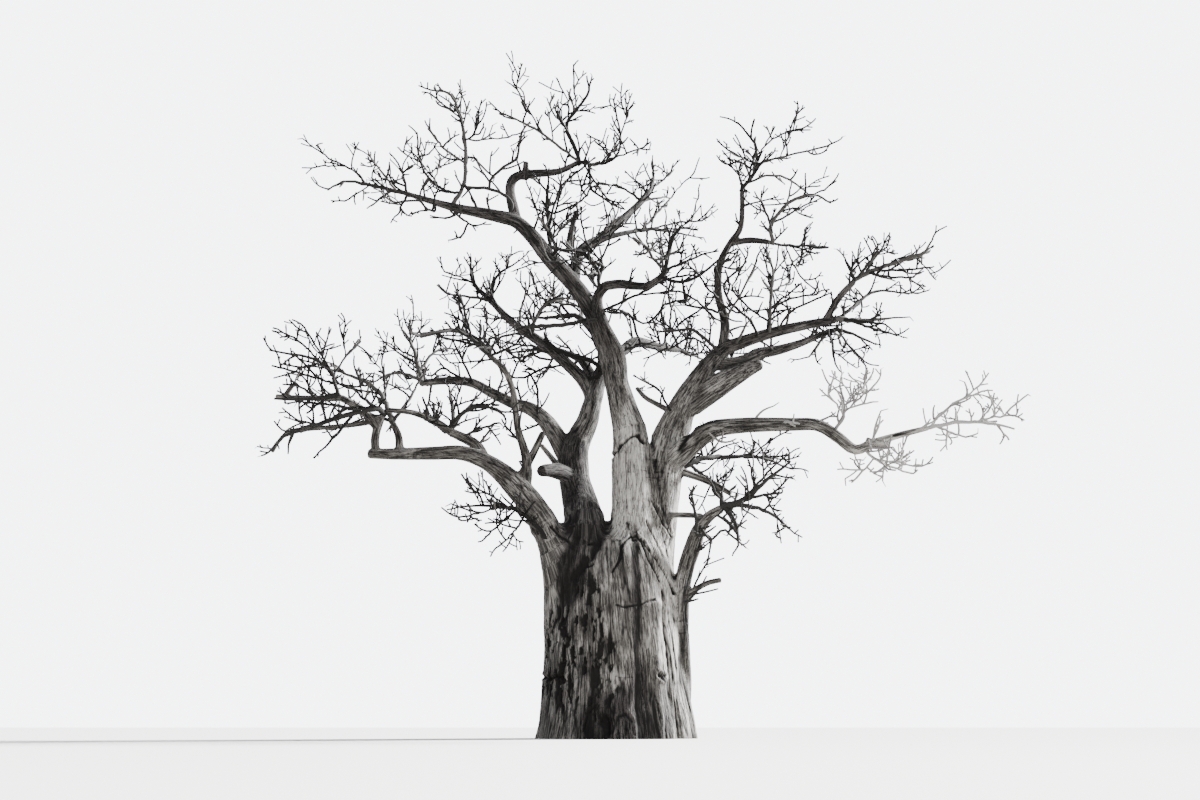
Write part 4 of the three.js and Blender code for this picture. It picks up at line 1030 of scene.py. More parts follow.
CREASES: dict[str, Crease] = {
    "arch_fold_west": Crease(
        ((0.6, 5.35), (0.41, 5.31), (0.27, 5.19), (0.18, 5.03), (0.15, 4.76), (0.08, 4.57),
         (-0.06, 4.32)),
        0.03, 0.06, 0.03,
    ),
    "arch_fold_east": Crease(
        ((0.60, 5.35), (0.75, 5.07), (0.86, 4.80), (1.02, 4.45), (1.21, 4.13)),
        0.03, 0.06, 0.02,
    ),
    "arch_rib_east": Crease(
        ((0.73, 5.22), (0.95, 4.87), (1.26, 4.49), (1.53, 4.13), (1.61, 3.82)),
        0.032, 0.06, 0.04,
    ),
    "slant_fold": Crease(
        ((1.03, 6.39), (1.19, 6.08), (1.38, 5.78), (1.57, 5.50)), 0.035, 0.05, 0.03, 0.8
    ),
    "slant_line": Crease(((0.86, 5.82), (1.07, 5.40), (1.34, 4.83)), 0.025, 0.03, 0.015, 0.6),
    "cross_crack": Crease(
        ((0.02, 3.43), (0.25, 3.38), (0.44, 3.4), (0.73, 3.48), (1.05, 3.61)),
        0.028, 0.04, 0.012, 0.9,
    ),
    "low_crack": Crease(((-0.09, 1.59), (0.15, 1.55), (0.42, 1.56)), 0.018, 0.02, 0.005, 0.45),
    "left_crack": Crease(((-0.46, 2.07), (-0.3, 2.0), (-0.17, 2.02)), 0.02, 0.03, 0.005, 0.5),
    "middle_furrow": Crease(
        ((0.6, 5.1), (0.6, 4.2), (0.62, 3.41), (0.59, 2.51), (0.55, 1.49), (0.57, 0.1)),
        0.06, 0.04, 0.0, 0.45,
    ),
    "foot_furrow": Crease(((0.6, 1.6), (0.58, 0.9), (0.62, 0.0)), 0.09, 0.1, 0.02, 0.9),
    "left_furrow": Crease(
        ((-0.1, 4.0), (-0.12, 3.0), (-0.2, 2.0), (-0.25, 0.9), (-0.3, 0.0)), 0.06, 0.05, 0.0, 0.5
    ),
    "east_furrow": Crease(
        ((1.3, 3.9), (1.32, 2.9), (1.4, 1.7), (1.45, 0.0)), 0.045, 0.05, 0.03, 0.6
    ),
    "east_rib": Crease(((1.12, 3.5), (1.09, 2.5), (1.16, 1.2), (1.2, 0.0)), 0.1, -0.06, 0.0, 0.0),
    "recess": Crease(
        ((-1.3, 5.9), (-1.1, 5.3), (-1.25, 4.7), (-1.42, 4.0), (-1.58, 3.2)), 0.17, 0.13, 0.02, 0.75
    ),
    "recess_east": Crease(
        ((-0.2, 5.9), (-0.34, 5.45), (-0.5, 5.1), (-0.8, 4.6), (-1.15, 4.2)), 0.12, 0.12, 0.02, 0.75
    ),
    "west_crease": Crease(
        ((-1.75, 5.6), (-1.49, 5.34), (-1.27, 5.2), (-1.14, 5.0)), 0.04, 0.07, 0.02
    ),
    "left_cleft": Crease(((-1.42, 4.3), (-1.5, 3.9), (-1.56, 3.6)), 0.05, 0.1, 0.02, 0.8),
    "slit_upper": Crease(((-0.72, 5.12), (-0.55, 5.16), (-0.4, 5.12)), 0.04, 0.09, 0.02),
    "slit_lower": Crease(((-0.8, 4.53), (-0.7, 4.49), (-0.6, 4.53)), 0.045, 0.1, 0.02),
    "ledge": Crease(
        ((-2.1, 1.7), (-1.9, 1.62), (-1.77, 1.52), (-1.6, 1.6), (-1.4, 1.55)), 0.04, 0.08, 0.03, 0.8
    ),
    "collar": Crease(
        ((-0.05, 7.72), (0.1, 7.85), (0.21, 7.98), (0.44, 8.17), (0.68, 8.24)),
        0.04, 0.055, 0.03, 0.9,
    ),
    "collar_hole": Crease(((0.62, 8.24), (0.72, 8.14), (0.82, 8.06)), 0.05, 0.08, 0.03, 0.9),
    "stem_cleft": Crease(
        ((0.98, 8.6), (1.08, 8.0), (1.2, 7.2), (1.3, 6.5), (1.5, 5.8)), 0.05, 0.05, 0.01, 0.6
    ),
    "east_rib_upper": Crease(
        ((1.2, 6.2), (1.4, 5.9), (1.62, 5.55)), 0.035, 0.04, 0.02, 0.6
    ),
    "east_collar": Crease(
        ((1.78, 7.85), (1.95, 8.1), (2.16, 8.42), (2.36, 8.66)), 0.05, 0.08, 0.03
    ),
    "waist_fold": Crease(
        ((0.1, 6.35), (0.4, 6.42), (0.75, 6.38), (1.05, 6.45)), 0.05, 0.02, 0.01, 0.25
    ),
    "foot_arch_west": Crease(
        ((-0.85, 0.2), (-0.75, 0.62), (-0.56, 0.8), (-0.41, 0.68), (-0.33, 0.25)),
        0.03, 0.045, 0.025, 0.75,
    ),
    "foot_arch_east": Crease(
        ((-0.12, 0.15), (0.05, 0.56), (0.26, 0.63), (0.41, 0.43), (0.47, 0.12)),
        0.035, 0.05, 0.025, 0.8,
    ),
    "foot_hollow": Crease(((-0.3, 0.5), (-0.24, 0.15)), 0.1, 0.16, 0.02),
    "branch_eye": Crease(((1.15, 1.62), (1.24, 1.54), (1.3, 1.6)), 0.05, 0.08, 0.04),
}


@dataclass(frozen=True)
class Patch:
    """A patch on the front of the trunk: its middle across and up, its half sizes and share.

    Its edge fades in between two shares of its half sizes, and wanders by a share of them.
    """

    x: float
    z: float
    wide: float
    high: float
    share: float = 1.0

    EDGE = (1.25, 0.75)
    WANDER = 0.3

    def mask(self, points: Array, wander: Array) -> Array:
        """How far points are inside it, from 0 to 1, with an edge that wanders."""
        reach = np.hypot((points[:, 0] - self.x) / self.wide, (points[:, 2] - self.z) / self.high)
        return self.share * rise(*self.EDGE, reach + self.WANDER * wander)


# Where the front of the trunk is pitted, painted darker, given painted light, or smooth, in metres
PITTED = (
    Patch(-1.35, 2.0, 0.75, 1.3), Patch(-0.75, 2.9, 0.45, 1.3), Patch(-0.45, 1.7, 0.5, 1.3, 0.8),
)
DARK_PATCHES = (
    Patch(-0.9, 5.6, 0.75, 0.75, 0.85), Patch(-1.15, 4.3, 0.45, 0.9),
    Patch(-0.85, 6.6, 0.45, 0.9, 0.8), Patch(-1.2, 1.2, 0.9, 1.3, 0.55),
    Patch(0.6, 0.9, 0.3, 1.3), Patch(0.1, 0.5, 1.1, 0.8), Patch(-1.25, 7.6, 0.5, 1.6),
    Patch(0.55, 3.4, 0.12, 2.2), Patch(-1.7, 7.4, 0.7, 0.35), Patch(1.1, 0.6, 0.5, 1.0, 0.5),
    Patch(-2.9, 7.5, 0.9, 0.5, 0.8), Patch(-0.9, 2.9, 0.6, 0.8, 0.3),
)
# Painted light: patches made paler where the trunk's right flank and the middle and east stems
# stand in light
LIGHT_PATCHES = (Patch(0.4, 7.0, 0.6, 2.1), Patch(1.5, 3.4, 0.35, 2.4), Patch(1.7, 7.2, 0.2, 1.4))
SMOOTH_PANEL = Patch(0.62, 3.1, 0.75, 1.9)


@dataclass(frozen=True)
class Reading:
    """Where each point of the skin lies on a limb: along and round it, and its size."""

    limb: Array
    grain: Array
    radius: Array


class LimbMap:
    """Tells for points of the skin which limb they are on, and where on it."""

    SPACING = 450.0
    STEM_HEIGHT = 5.0
    STEM_SLOPE = 1.5
    BODY_RADIUS = 1.85
    LEAST_BODY = 0.05
    LEAST_LIMB = 0.02
    LIMB_OFFSET = 37.0
    BLEND_REACH = 0.07
    BATCH = 20000

    def __init__(self, skeleton: Skeleton) -> None:
        """Lays out the segments of every limb with their own frames.

        Args:
            skeleton: The limbs.
        """
        self.names = ["trunk", *skeleton.all_paths()]
        rows: list[tuple] = []
        ends: dict[str, tuple[float, Vector, Vector]] = {}
        for number, (name, coarse) in enumerate(skeleton.all_paths().items(), 1):
            path = coarse.finer(self.SPACING)
            limb = skeleton.carriers.get(name)
            if name in skeleton.stems:
                run, side = path.points[0].z * MILLIMETRE, Vector((1, 0, 0))
                shift = Vector((path.points[0].x, path.points[0].y, 0)) * MILLIMETRE
            elif limb and limb.meets:
                run, side, shift = ends[limb.carrier]
            else:
                run, side = self.LIMB_OFFSET * number, Vector((0, 1, 0)).cross(path.direction(0))
                shift = Vector((0, 0, 0))
            for i in range(len(path.points) - 1):
                a, b = path.points[i] * MILLIMETRE, path.points[i + 1] * MILLIMETRE
                along = (b - a).normalized()
                side = (side - along * side.dot(along)).normalized()
                up = along.cross(side)
                radii = path.radii[i : i + 2]
                rows.append((*a, *b, *side, *up, *shift, run, *radii, number))
                run += (b - a).length
            ends[name] = (run, side, shift)
        table = np.array(rows, np.float32)
        self.start, self.end = table[:, 0:3], table[:, 3:6]
        self.side, self.up, self.shift = table[:, 6:9], table[:, 9:12], table[:, 12:15]
        self.run = table[:, 15]
        self.radii = table[:, 16:18] * MILLIMETRE
        self.limb = table[:, 18].astype(int)
        self.levels = np.array(TRUNK_LEVELS, np.float32)[:, :5] * MILLIMETRE

    def _trunk(self, points: Array) -> tuple[Array, Array, Array]:
        """How far points stand off the trunk's body, where on it, and its radius.

        Args:
            points: The skin's points.

        Returns:
            The gap from the body, the place along and round it, and its radius.
        """
        x, y, wide, deep = (
            np.interp(points[:, 2], self.levels[:, 0], self.levels[:, column])
            for column in range(1, 5)
        )
        across, back = points[:, 0] - x, points[:, 1] - y
        mean = (wide + deep) / 2
        gap = (np.hypot(across / wide, back / deep) - 1) * mean
        gap = gap + np.maximum(0, points[:, 2] - self.STEM_HEIGHT) * self.STEM_SLOPE
        pull = self.BODY_RADIUS / np.maximum(np.hypot(across, back), self.LEAST_BODY)
        return gap, np.stack((across * pull, back * pull, points[:, 2]), 1), mean

    def body_grain(self, points: Array) -> Array:
        """Where points are along and round the trunk's body."""
        return self._trunk(points)[1].astype(np.float32)

    def read(self, points: Array) -> tuple[Reading, Reading, Array]:
        """The limb of each point, the next nearest limb, and how much that one counts.

        Args:
            points: Points of the skin in metres.

        Returns:
            The nearest limb's reading, the next one's, and its weight from 0 to 0.5.
        """
        starts = range(0, len(points), self.BATCH)
        parts = [self._read(points[i : i + self.BATCH]) for i in starts]
        readings = []
        for which in (0, 1):
            limb, grain, radius = (
                np.concatenate([getattr(part[which], key) for part in parts])
                for key in ("limb", "grain", "radius")
            )
            readings.append(Reading(limb, grain, radius))
        return readings[0], readings[1], np.concatenate([part[2] for part in parts])

    def _read(self, points: Array) -> tuple[Reading, Reading, Array]:
        """The same for a few thousand points.

        Args:
            points: Those points.

        Returns:
            What read returns.
        """
        span = self.end - self.start
        square = (span * span).sum(1)
        t = (points @ span.T - (self.start * span).sum(1)) / square
        t = np.clip(t, 0, 1)
        total = np.zeros((len(points), len(span)), np.float32)
        for axis in range(3):
            place = self.start[:, axis] + t * span[:, axis]
            total += (points[:, axis : axis + 1] - place) ** 2
        radius = self.radii[:, 0] + t * (self.radii[:, 1] - self.radii[:, 0])
        gap = np.sqrt(total) - radius
        trunk_gap, trunk_grain, trunk_radius = self._trunk(points)
        readings, gaps = [], []
        rows = np.arange(len(points))
        for _ in range(2):
            best = gap.argmin(1)
            least = gap[rows, best]
            on_trunk = trunk_gap < least
            limb = np.where(on_trunk, 0, self.limb[best])
            middle = self.start[best] + t[rows, best][:, None] * span[best]
            off = points - middle
            across = (off * self.side[best]).sum(1)
            over = (off * self.up[best]).sum(1)
            run = self.run[best] + t[rows, best] * np.sqrt(square[best])
            pull = radius[rows, best] / np.maximum(np.hypot(across, over), self.LEAST_LIMB)
            grain = np.stack((across * pull, over * pull, run), 1) + self.shift[best]
            grain = np.where(on_trunk[:, None], trunk_grain, grain)
            size = np.where(on_trunk, trunk_radius, radius[rows, best])
            readings.append(Reading(limb, grain.astype(np.float32), size.astype(np.float32)))
            gaps.append(np.where(on_trunk, trunk_gap, least))
            trunk_gap = np.where(on_trunk, np.inf, trunk_gap)
            gap = np.where(self.limb[None, :] == limb[:, None], np.inf, gap)
        weight = 0.5 * np.exp(-(gaps[1] - gaps[0]) / self.BLEND_REACH)
        return readings[0], readings[1], weight.astype(np.float32)


# The bark's own layers, on any limb
LUMPS = Layer((0.5, 0.5, 1.0), 3, 0.035)
FURROWS = Layer((0.26, 0.26, 2.4), 11, 0.018, 0.5)
CRACKS = Layer((0.1, 0.1, 1.1), 23, 0.009, 0.42)
STREAKS = Layer((0.05, 0.05, 0.55), 37, 0.005, -0.18)
BENDS = Layer((0.9, 0.9, 1.1), 51)
WRINKLES = Layer((0.7, 0.7, 0.09), 61, 0.011, 0.4)

# Those of the trunk's body, and what makes the edges of its patches and creases wander
FLUTES = Layer((0.55, 0.55, 4.5), 7, 0.045)
GROOVES = Layer((0.34, 0.34, 3.2), 13, 0.035, 0.5)
FOOT_LUMPS = Layer((0.3, 0.3, 0.7), 17, 0.045)
HOLES = Layer((0.11, 0.11, 0.26), 71, 0.065, count=3)
GRIT = Layer((0.07, 0.07, 0.16), 83, 0.02)
PATCH_WANDER = Layer((0.35, 0.35, 0.5), 5)
TONE_PATCH_WANDER = Layer((0.3, 0.3, 1.0), 105, count=3)
CREASE_WANDER = Layer((0.3, 0.3, 0.3), 91, 0.03, count=3)
CREASE_WIDTHS = Layer((0.28, 0.28, 0.28), 97, 0.3)

# The solids' nodes that the bark takes the place of
CAD_BOUGHS = ("trunk", *(limb.name for limb in LIMBS))


@dataclass
class BarkSkin:
    """The trunk and boughs as one skin with the bark's relief, in a few pieces."""

    skeleton: Skeleton
    voxel: float = 0.032
    hull_sides: int = 28
    hull_spacing: float = 220.0
    body_sides: int = 120
    body_rings: int = 57
    below_ground: float = 0.15
    smooth_rounds: int = 4
    blend_rounds: int = 60
    shoulder_rounds: int = 220
    blend_reach: float = 0.35
    blend_strength: float = 0.6
    shoulder_radius: float = 0.42
    border_rounds: int = 8
    stout: float = 750.0
    swell: float = 30.0
    swell_share: float = 0.22
    tip_length: float = 0.3
    tip_share: float = 0.55

    # Each piece, with the limbs that begin it. All that these carry goes with them.
    GROUPS = {
        "trunk_lower": ("trunk",),
        "trunk_upper": ("trunk", "west", "back", "middle", "east", "side_stem"),
        "west_boughs": ("west_bough",),
        "back_boughs": ("west_stem",),
        "crown_boughs": ("middle_stem",),
        "east_boughs": ("east_stem", "low_east_bough"),
    }
    SPLIT_HEIGHT = 2.4
    PULLS = (0.55, -0.52)
    RELIEF_RADIUS = 0.45
    LEAST_RELIEF = 0.12
    LUMP_SHARE = 0.09
    BODY_REACH = 3.2
    PANEL_CALM = 0.75
    MEAN_WIDTH = 0.95
    RIM_PLACE = 2.1
    CREASE_SHADE = 0.85

    # How much darker a slim limb is painted low in the crown, and how much more so high up in it
    SLIM_DARKENING = (0.45, 0.5)

    # Between which two values each mask on the skin sets in: of a place or a radius in
    # metres, of the way out of the skin, or of a layer's waves
    EASED_RADII = (0.1, 0.3)
    SHOULDER_FOOT = (4.3, 5.0)
    SHOULDER_TOP = (6.8, 6.1)
    WRINKLED = (0.1, 0.5)
    BODY_TOP = (6.6, 5.0)
    FOOT = (1.1, 0.0)
    FRONT = (0.3, -0.1)
    HOLE_EDGE = (0.06, 0.22)
    MARKED_FRONT = (0.4, -0.2)
    # Painted shade on the undersides of the limbs sets in between these
    UNDERSIDE_SHADE = (0.1, -0.6)
    UNDERSIDE_SHADE_RADII = (1.2, 0.6)
    SLIM_RADII = (0.5, 0.2)
    HIGH = (8.5, 12.0)
    # Painted light: the far low east limbs are paled for the glare on them, between these
    GLARE_ACROSS = (5.0, 8.0)
    GLARE_UP = (10.5, 9.0)

    @classmethod
    def members(cls) -> dict[str, list[str]]:
        """The limbs of each piece, found by following what carries them.

        Returns:
            The names of the limbs, by the name of the piece.
        """
        members = {name: list(heads) for name, heads in cls.GROUPS.items()}
        heads = {name for group in cls.GROUPS.values() for name in group}
        for limb in (*LIMBS, *SMALL_LIMBS):
            for group in members.values():
                if limb.carrier in group and limb.name not in heads:
                    group.append(limb.name)
        return members

    @staticmethod
    def furrow_depth(z: float, turn: Array, radius: float) -> Array:
        """How deep the furrows are at a height, for each turn round the trunk.

        Args:
            z: The height.
            turn: The turns in radians.
            radius: The trunk's radius there.

        Returns:
            The depth for each turn.
        """
        depth = np.zeros_like(turn)
        for width, line in TRUNK_FURROWS:
            for low, high in zip(line, line[1:]):
                if low[0] <= z <= high[0]:
                    share = (z - low[0]) / (high[0] - low[0])
                    middle = math.radians(between((low[1], high[1]), share))
                    aside = np.arctan2(np.sin(turn - middle), np.cos(turn - middle)) * radius
                    depth += between((low[2], high[2]), share) * np.exp(-((aside / width) ** 2))
                    break
        return depth

    def body(self) -> tuple[Array, Array]:
        """The trunk's body as rings, started below ground level: its points and faces.

        Returns:
            The points in metres, and the four corners of each face.
        """
        columns = list(zip(*TRUNK_LEVELS))
        shares = np.linspace(0, 1, self.body_rings)
        rings = []
        turn = np.arange(self.body_sides) * 2 * np.pi / self.body_sides
        stand = sum(weight * np.cos(count * turn + start) for count, start, weight in TRUNK_FOLDS)
        for share in (0.0, *shares):
            z, x, y, wide, deep, fold = (smooth(column, share) for column in columns)
            grow = 1 + fold * stand
            inward = self.furrow_depth(max(z, 0.0), turn, (wide + deep) / 2)
            height = z * MILLIMETRE if rings else -self.below_ground
            rings.append(np.stack((
                (x + (wide * grow - inward) * np.cos(turn)) * MILLIMETRE,
                (y + (deep * grow - inward) * np.sin(turn)) * MILLIMETRE,
                np.full(self.body_sides, height),
            ), 1))
        sides = np.arange(self.body_sides)
        after = np.roll(sides, -1)
        ring = np.stack((sides, after, self.body_sides + after, self.body_sides + sides), 1)
        starts = np.arange(len(rings) - 1) * self.body_sides
        return np.concatenate(rings), (starts[:, None, None] + ring).reshape(-1, 4)

    def swollen(self, radius: float) -> float:
        """A limb's radius with what the smoothing takes off a slim one added."""
        extra = min(self.swell_share * radius, self.swell * (1 - radius / self.stout))
        return radius + max(0, extra)

    def hull(self) -> Mesh:
        """Every limb's plain tube and the trunk's body, fused into one closed skin.

        Returns:
            The mesh.
        """
        sweep = Sweep("limb_sweep")
        paths = self.skeleton.all_paths().values()
        threads = [path.finer(self.hull_spacing) for path in paths]
        for path in threads:
            path.radii = [self.swollen(radius) for radius in path.radii]
            tip, radius = path.points[-1], path.radii[-1]
            way = path.direction(len(path.points) - 1)
            path.points.append(tip + way * self.tip_length * radius)
            path.radii.append(self.tip_share * radius)
        tubes = sweep.run("tubes", [Thread(path) for path in threads], sides=self.hull_sides)
        points, faces = self.body()
        top = len(points) - self.body_sides
        body = bpy.data.meshes.new("body")
        ends = [list(range(self.body_sides))[::-1], list(range(top, top + self.body_sides))]
        body.from_pydata(points.tolist(), [], faces.tolist() + ends)
        piece = show("hull", joined_mesh("hull", [tubes, body]))
        fuse = piece.modifiers.new("fuse", "REMESH")
        fuse.mode = "VOXEL"
        fuse.voxel_size = self.voxel
        return made_plain(piece, "fused")

    @staticmethod
    def gathered(rows: Array, values: Array, count: int) -> Array:
        """The sum of the values that go to each row, column by column."""
        columns = (np.bincount(rows, weights=column, minlength=count) for column in values.T)
        return np.stack(list(columns), 1)

    def smoothed(self, points: Array, edges: Array) -> Array:
        """Points drawn towards their neighbours and back, which rounds the joints.

        Args:
            points: The skin's points.
            edges: The edges between them.

        Returns:
            The points in their new places.
        """
        count = np.bincount(edges.ravel(), minlength=len(points)).astype(np.float32)[:, None]
        both = np.concatenate((edges, edges[:, ::-1]))
        for pull in self.PULLS * self.smooth_rounds:
            total = self.gathered(both[:, 0], points[both[:, 1]], len(points))
            points = points + pull * (total / count - points)
        return points

    def blended(self, points: Array, edges: Array) -> Array:
        """Points with the crotches between limbs and the trunk's shoulder filled and eased.

        Args:
            points: The skin's points.
            edges: The edges between them.

        Returns:
            The points in their new places.
        """
        reading, _, share = LimbMap(self.skeleton).read(points.astype(np.float32))
        stout = rise(*self.EASED_RADII, reading.radius)
        shoulder = rise(*self.SHOULDER_FOOT, points[:, 2]) * rise(*self.SHOULDER_TOP, points[:, 2])
        shoulder *= reading.radius > self.shoulder_radius
        ease = np.maximum(np.clip(share / self.blend_reach, 0, 1), shoulder)
        ease = ease * self.blend_strength * stout
        rounds = np.where(shoulder > 0.2, self.shoulder_rounds, self.blend_rounds)
        count = np.bincount(edges.ravel(), minlength=len(points))
        both = np.concatenate((edges, edges[:, ::-1]))
        eased = points.copy()
        for limit, start in ((self.blend_rounds, 0), (self.shoulder_rounds, self.blend_rounds)):
            active = np.flatnonzero((ease > 0.01) & (rounds > start))
            place = np.full(len(points), -1)
            place[active] = np.arange(len(active))
            pairs = both[place[both[:, 0]] >= 0]
            rows, pull = place[pairs[:, 0]], ease[active][:, None]
            for _ in range(start, limit):
                total = self.gathered(rows, eased[pairs[:, 1]], len(active))
                eased[active] += pull * (total / count[active][:, None] - eased[active])
        return eased

    @classmethod
    def normals(cls, points: Array, quads: Array) -> Array:
        """The way out of the skin at each point.

        Args:
            points: The skin's points.
            quads: Its four-sided faces.

        Returns:
            A vector of length 1 for each.
        """
        across = points[quads[:, 2]] - points[quads[:, 0]]
        over = points[quads[:, 3]] - points[quads[:, 1]]
        out = np.cross(across, over)
        total = np.zeros_like(points)
        for corner in range(4):
            total += cls.gathered(quads[:, corner], out, len(points))
        return total / np.maximum(np.linalg.norm(total, axis=1, keepdims=True), 1e-9)

    @classmethod
    def grown_relief(cls, reading: Reading) -> tuple[Array, Array]:
        """How far the bark stands out, and the painted shade in its clefts with the streaks' own
        tone, from a limb's own grain.

        Args:
            reading: Where the points are on their limb.

        Returns:
            The height in metres, and the darkness from 0 to 1: painted shade in the clefts, and the
            streaks' tone.
        """
        grain, radius = reading.grain, reading.radius
        size = np.clip(radius / cls.RELIEF_RADIUS, cls.LEAST_RELIEF, 1)
        lumps = LUMPS.waves(grain) * np.minimum(LUMPS.height, cls.LUMP_SHARE * radius)
        streak = STREAKS.waves(grain)
        wrinkle = WRINKLES.clefts(grain) * rise(*cls.WRINKLED, BENDS.waves(grain))
        lines = (
            (FURROWS, FURROWS.clefts(grain)), (CRACKS, CRACKS.clefts(grain)), (WRINKLES, wrinkle)
        )
        height = lumps - size * sum(layer.height * cleft for layer, cleft in lines)
        height += streak * STREAKS.height * np.sqrt(size)
        # Painted shade in the clefts, with the streaks' own tone
        dark = sum(layer.dark * cleft for layer, cleft in lines) + STREAKS.dark * streak
        return height, dark

    @classmethod
    def body_relief(cls, points: Array, normals: Array, grain: Array) -> tuple[Array, Array]:
        """The trunk's own folds, pits and creases.

        Args:
            points: Points of the skin in metres.
            normals: The way out of it there.
            grain: Where they are along and round the trunk.

        Returns:
            The height in metres, and the painted shade in the grooves, pits and creases, from 0 to
            1.
        """
        x, z = points[:, 0], points[:, 2]
        on_body = rise(*cls.BODY_TOP, z) * (np.hypot(x, points[:, 1]) < cls.BODY_REACH)
        front = rise(*cls.FRONT, normals[:, 1])
        wander = PATCH_WANDER.waves(points)
        panel = SMOOTH_PANEL.mask(points, wander) * front
        calm = 1 - cls.PANEL_CALM * panel
        grooves = GROOVES.clefts(grain)
        flutes = FLUTES.height * FLUTES.waves(grain) * calm
        height = on_body * (flutes - GROOVES.height * grooves * calm)
        height += on_body * rise(*cls.FOOT, z) * FOOT_LUMPS.height * FOOT_LUMPS.waves(grain)
        # Painted shade in the grooves, and further down in the pits and the creases
        dark = on_body * GROOVES.dark * grooves * calm
        pitted = np.max([patch.mask(points, wander) for patch in PITTED], axis=0) * front
        holes = rise(*cls.HOLE_EDGE, HOLES.waves(points)) * pitted
        height += -HOLES.height * holes + GRIT.height * (GRIT.waves(points) * pitted)
        # Painted shade in the pits
        dark += holes
        shift = CREASE_WANDER.height * CREASE_WANDER.waves(points)
        uneven = cls.MEAN_WIDTH + CREASE_WIDTHS.height * CREASE_WIDTHS.waves(points)
        deepest, shaded = np.zeros_like(x), np.zeros_like(x)
        for crease in CREASES.values():
            gap = crease.distance(x + shift, z + shift)
            width = crease.width * uneven
            groove = np.exp(-((gap / width) ** 2)) * front
            rim = np.exp(-(((gap - cls.RIM_PLACE * width) / width) ** 2)) * front
            height += crease.lip * rim * uneven
            deepest = np.maximum(deepest, crease.depth * groove * uneven)
            shaded = np.maximum(shaded, crease.shade * groove * uneven)
            height -= np.minimum(crease.depth, 0) * groove
        return height - deepest, dark + cls.CREASE_SHADE * shaded

    @classmethod
    def darkening_and_painted_light(cls, points: Array, normals: Array, reading: Reading) -> Array:
        """How much darker the bark is painted, from 0 to 1, with painted shade on the undersides of
        the limbs; below 0, how much painted light it gets, down to -1.

        Args:
            points: Points of the skin in metres.
            normals: The way out of it there.
            reading: Where the points are on their limb.

        Returns:
            The darkening, with the painted light below 0.
        """
        wander = TONE_PATCH_WANDER.waves(points)
        front = rise(*cls.MARKED_FRONT, normals[:, 1])
        darkened, painted_light = (
            np.max([patch.mask(points, wander) for patch in patches], axis=0) * front
            for patches in (DARK_PATCHES, LIGHT_PATCHES)
        )
        x, _, z = points.T
        # Painted shade: the undersides of the limbs are darkened
        underside_shade = rise(*cls.UNDERSIDE_SHADE, normals[:, 2]) * rise(*cls.UNDERSIDE_SHADE_RADII, reading.radius)
        high = cls.SLIM_DARKENING[0] + cls.SLIM_DARKENING[1] * rise(*cls.HIGH, z)
        slim = (reading.limb > 0) * high * np.maximum(rise(*cls.SLIM_RADII, reading.radius), underside_shade)
        # Painted light: the far low east limbs are paled for the glare on them
        painted_glare = rise(*cls.GLARE_ACROSS, x) * rise(*cls.GLARE_UP, z)
        return np.maximum(darkened, slim) * (1 - painted_glare) - np.maximum(painted_light, painted_glare) * (1 - darkened)

    def build(self, finish: BarkFinish) -> None:
        """Makes the skin, gives it its relief and parts it into pieces.

        Args:
            finish: The bark's finish.
        """
        mesh = self.hull()
        points = np.empty(len(mesh.vertices) * 3, np.float32)
        edges = np.empty(len(mesh.edges) * 2, np.int32)
        corners = np.empty(len(mesh.loops), np.int32)
        mesh.vertices.foreach_get("co", points)
        mesh.edges.foreach_get("vertices", edges)
        mesh.loops.foreach_get("vertex_index", corners)
        edges, quads = edges.reshape(-1, 2), corners.reshape(-1, 4)
        points = self.smoothed(points.reshape(-1, 3).astype(np.float64), edges)
        points = self.blended(points, edges)
        logger.info("skin: %d points, %d quads", len(points), len(quads))
        limbs = LimbMap(self.skeleton)
        first, second, share = limbs.read(points.astype(np.float32))
        normals = self.normals(points, quads)
        flat = points.astype(np.float32)
        height, dark = self.grown_relief(first)
        other_height, other_dark = self.grown_relief(second)
        height += share * (other_height - height)
        dark += share * (other_dark - dark)
        body_height, body_dark = self.body_relief(flat, normals, limbs.body_grain(flat))
        points = points + normals * (height + body_height)[:, None]
        # The painted shade of clefts, grooves, pits and creases, kept as the cleft attribute
        cleft = np.clip(dark + body_dark, 0, 1)
        stain = self.darkening_and_painted_light(flat, normals, first)
        owner = self.owners(limbs.names, first.limb, points, edges)
        values = {"cleft": cleft, "stain": stain, "grain": first.grain}
        self.part(points, quads, owner, values, finish)

    def owners(self, names: list[str], limb: Array, points: Array, edges: Array) -> Array:
        """The piece that each point goes to, with borders that run evenly.

        Args:
            names: The limbs' names in order.
            limb: The number of each point's limb.
            points: The points.
            edges: The edges between them.

        Returns:
            The number of each point's piece.
        """
        group_of = np.zeros(len(names), int)
        for number, members in enumerate(self.members().values()):
            for member in members:
                group_of[names.index(member)] = number
        owner = group_of[limb]
        owner = np.where((points[:, 2] < self.SPLIT_HEIGHT) & (owner == 1), 0, owner)
        both = np.concatenate((edges, edges[:, ::-1]))
        votes = np.eye(len(self.GROUPS), dtype=np.float32)[owner]
        for _ in range(self.border_rounds):
            votes = votes + self.gathered(both[:, 0], votes[both[:, 1]], len(points))
            votes /= votes.sum(1, keepdims=True)
        return votes.argmax(1)

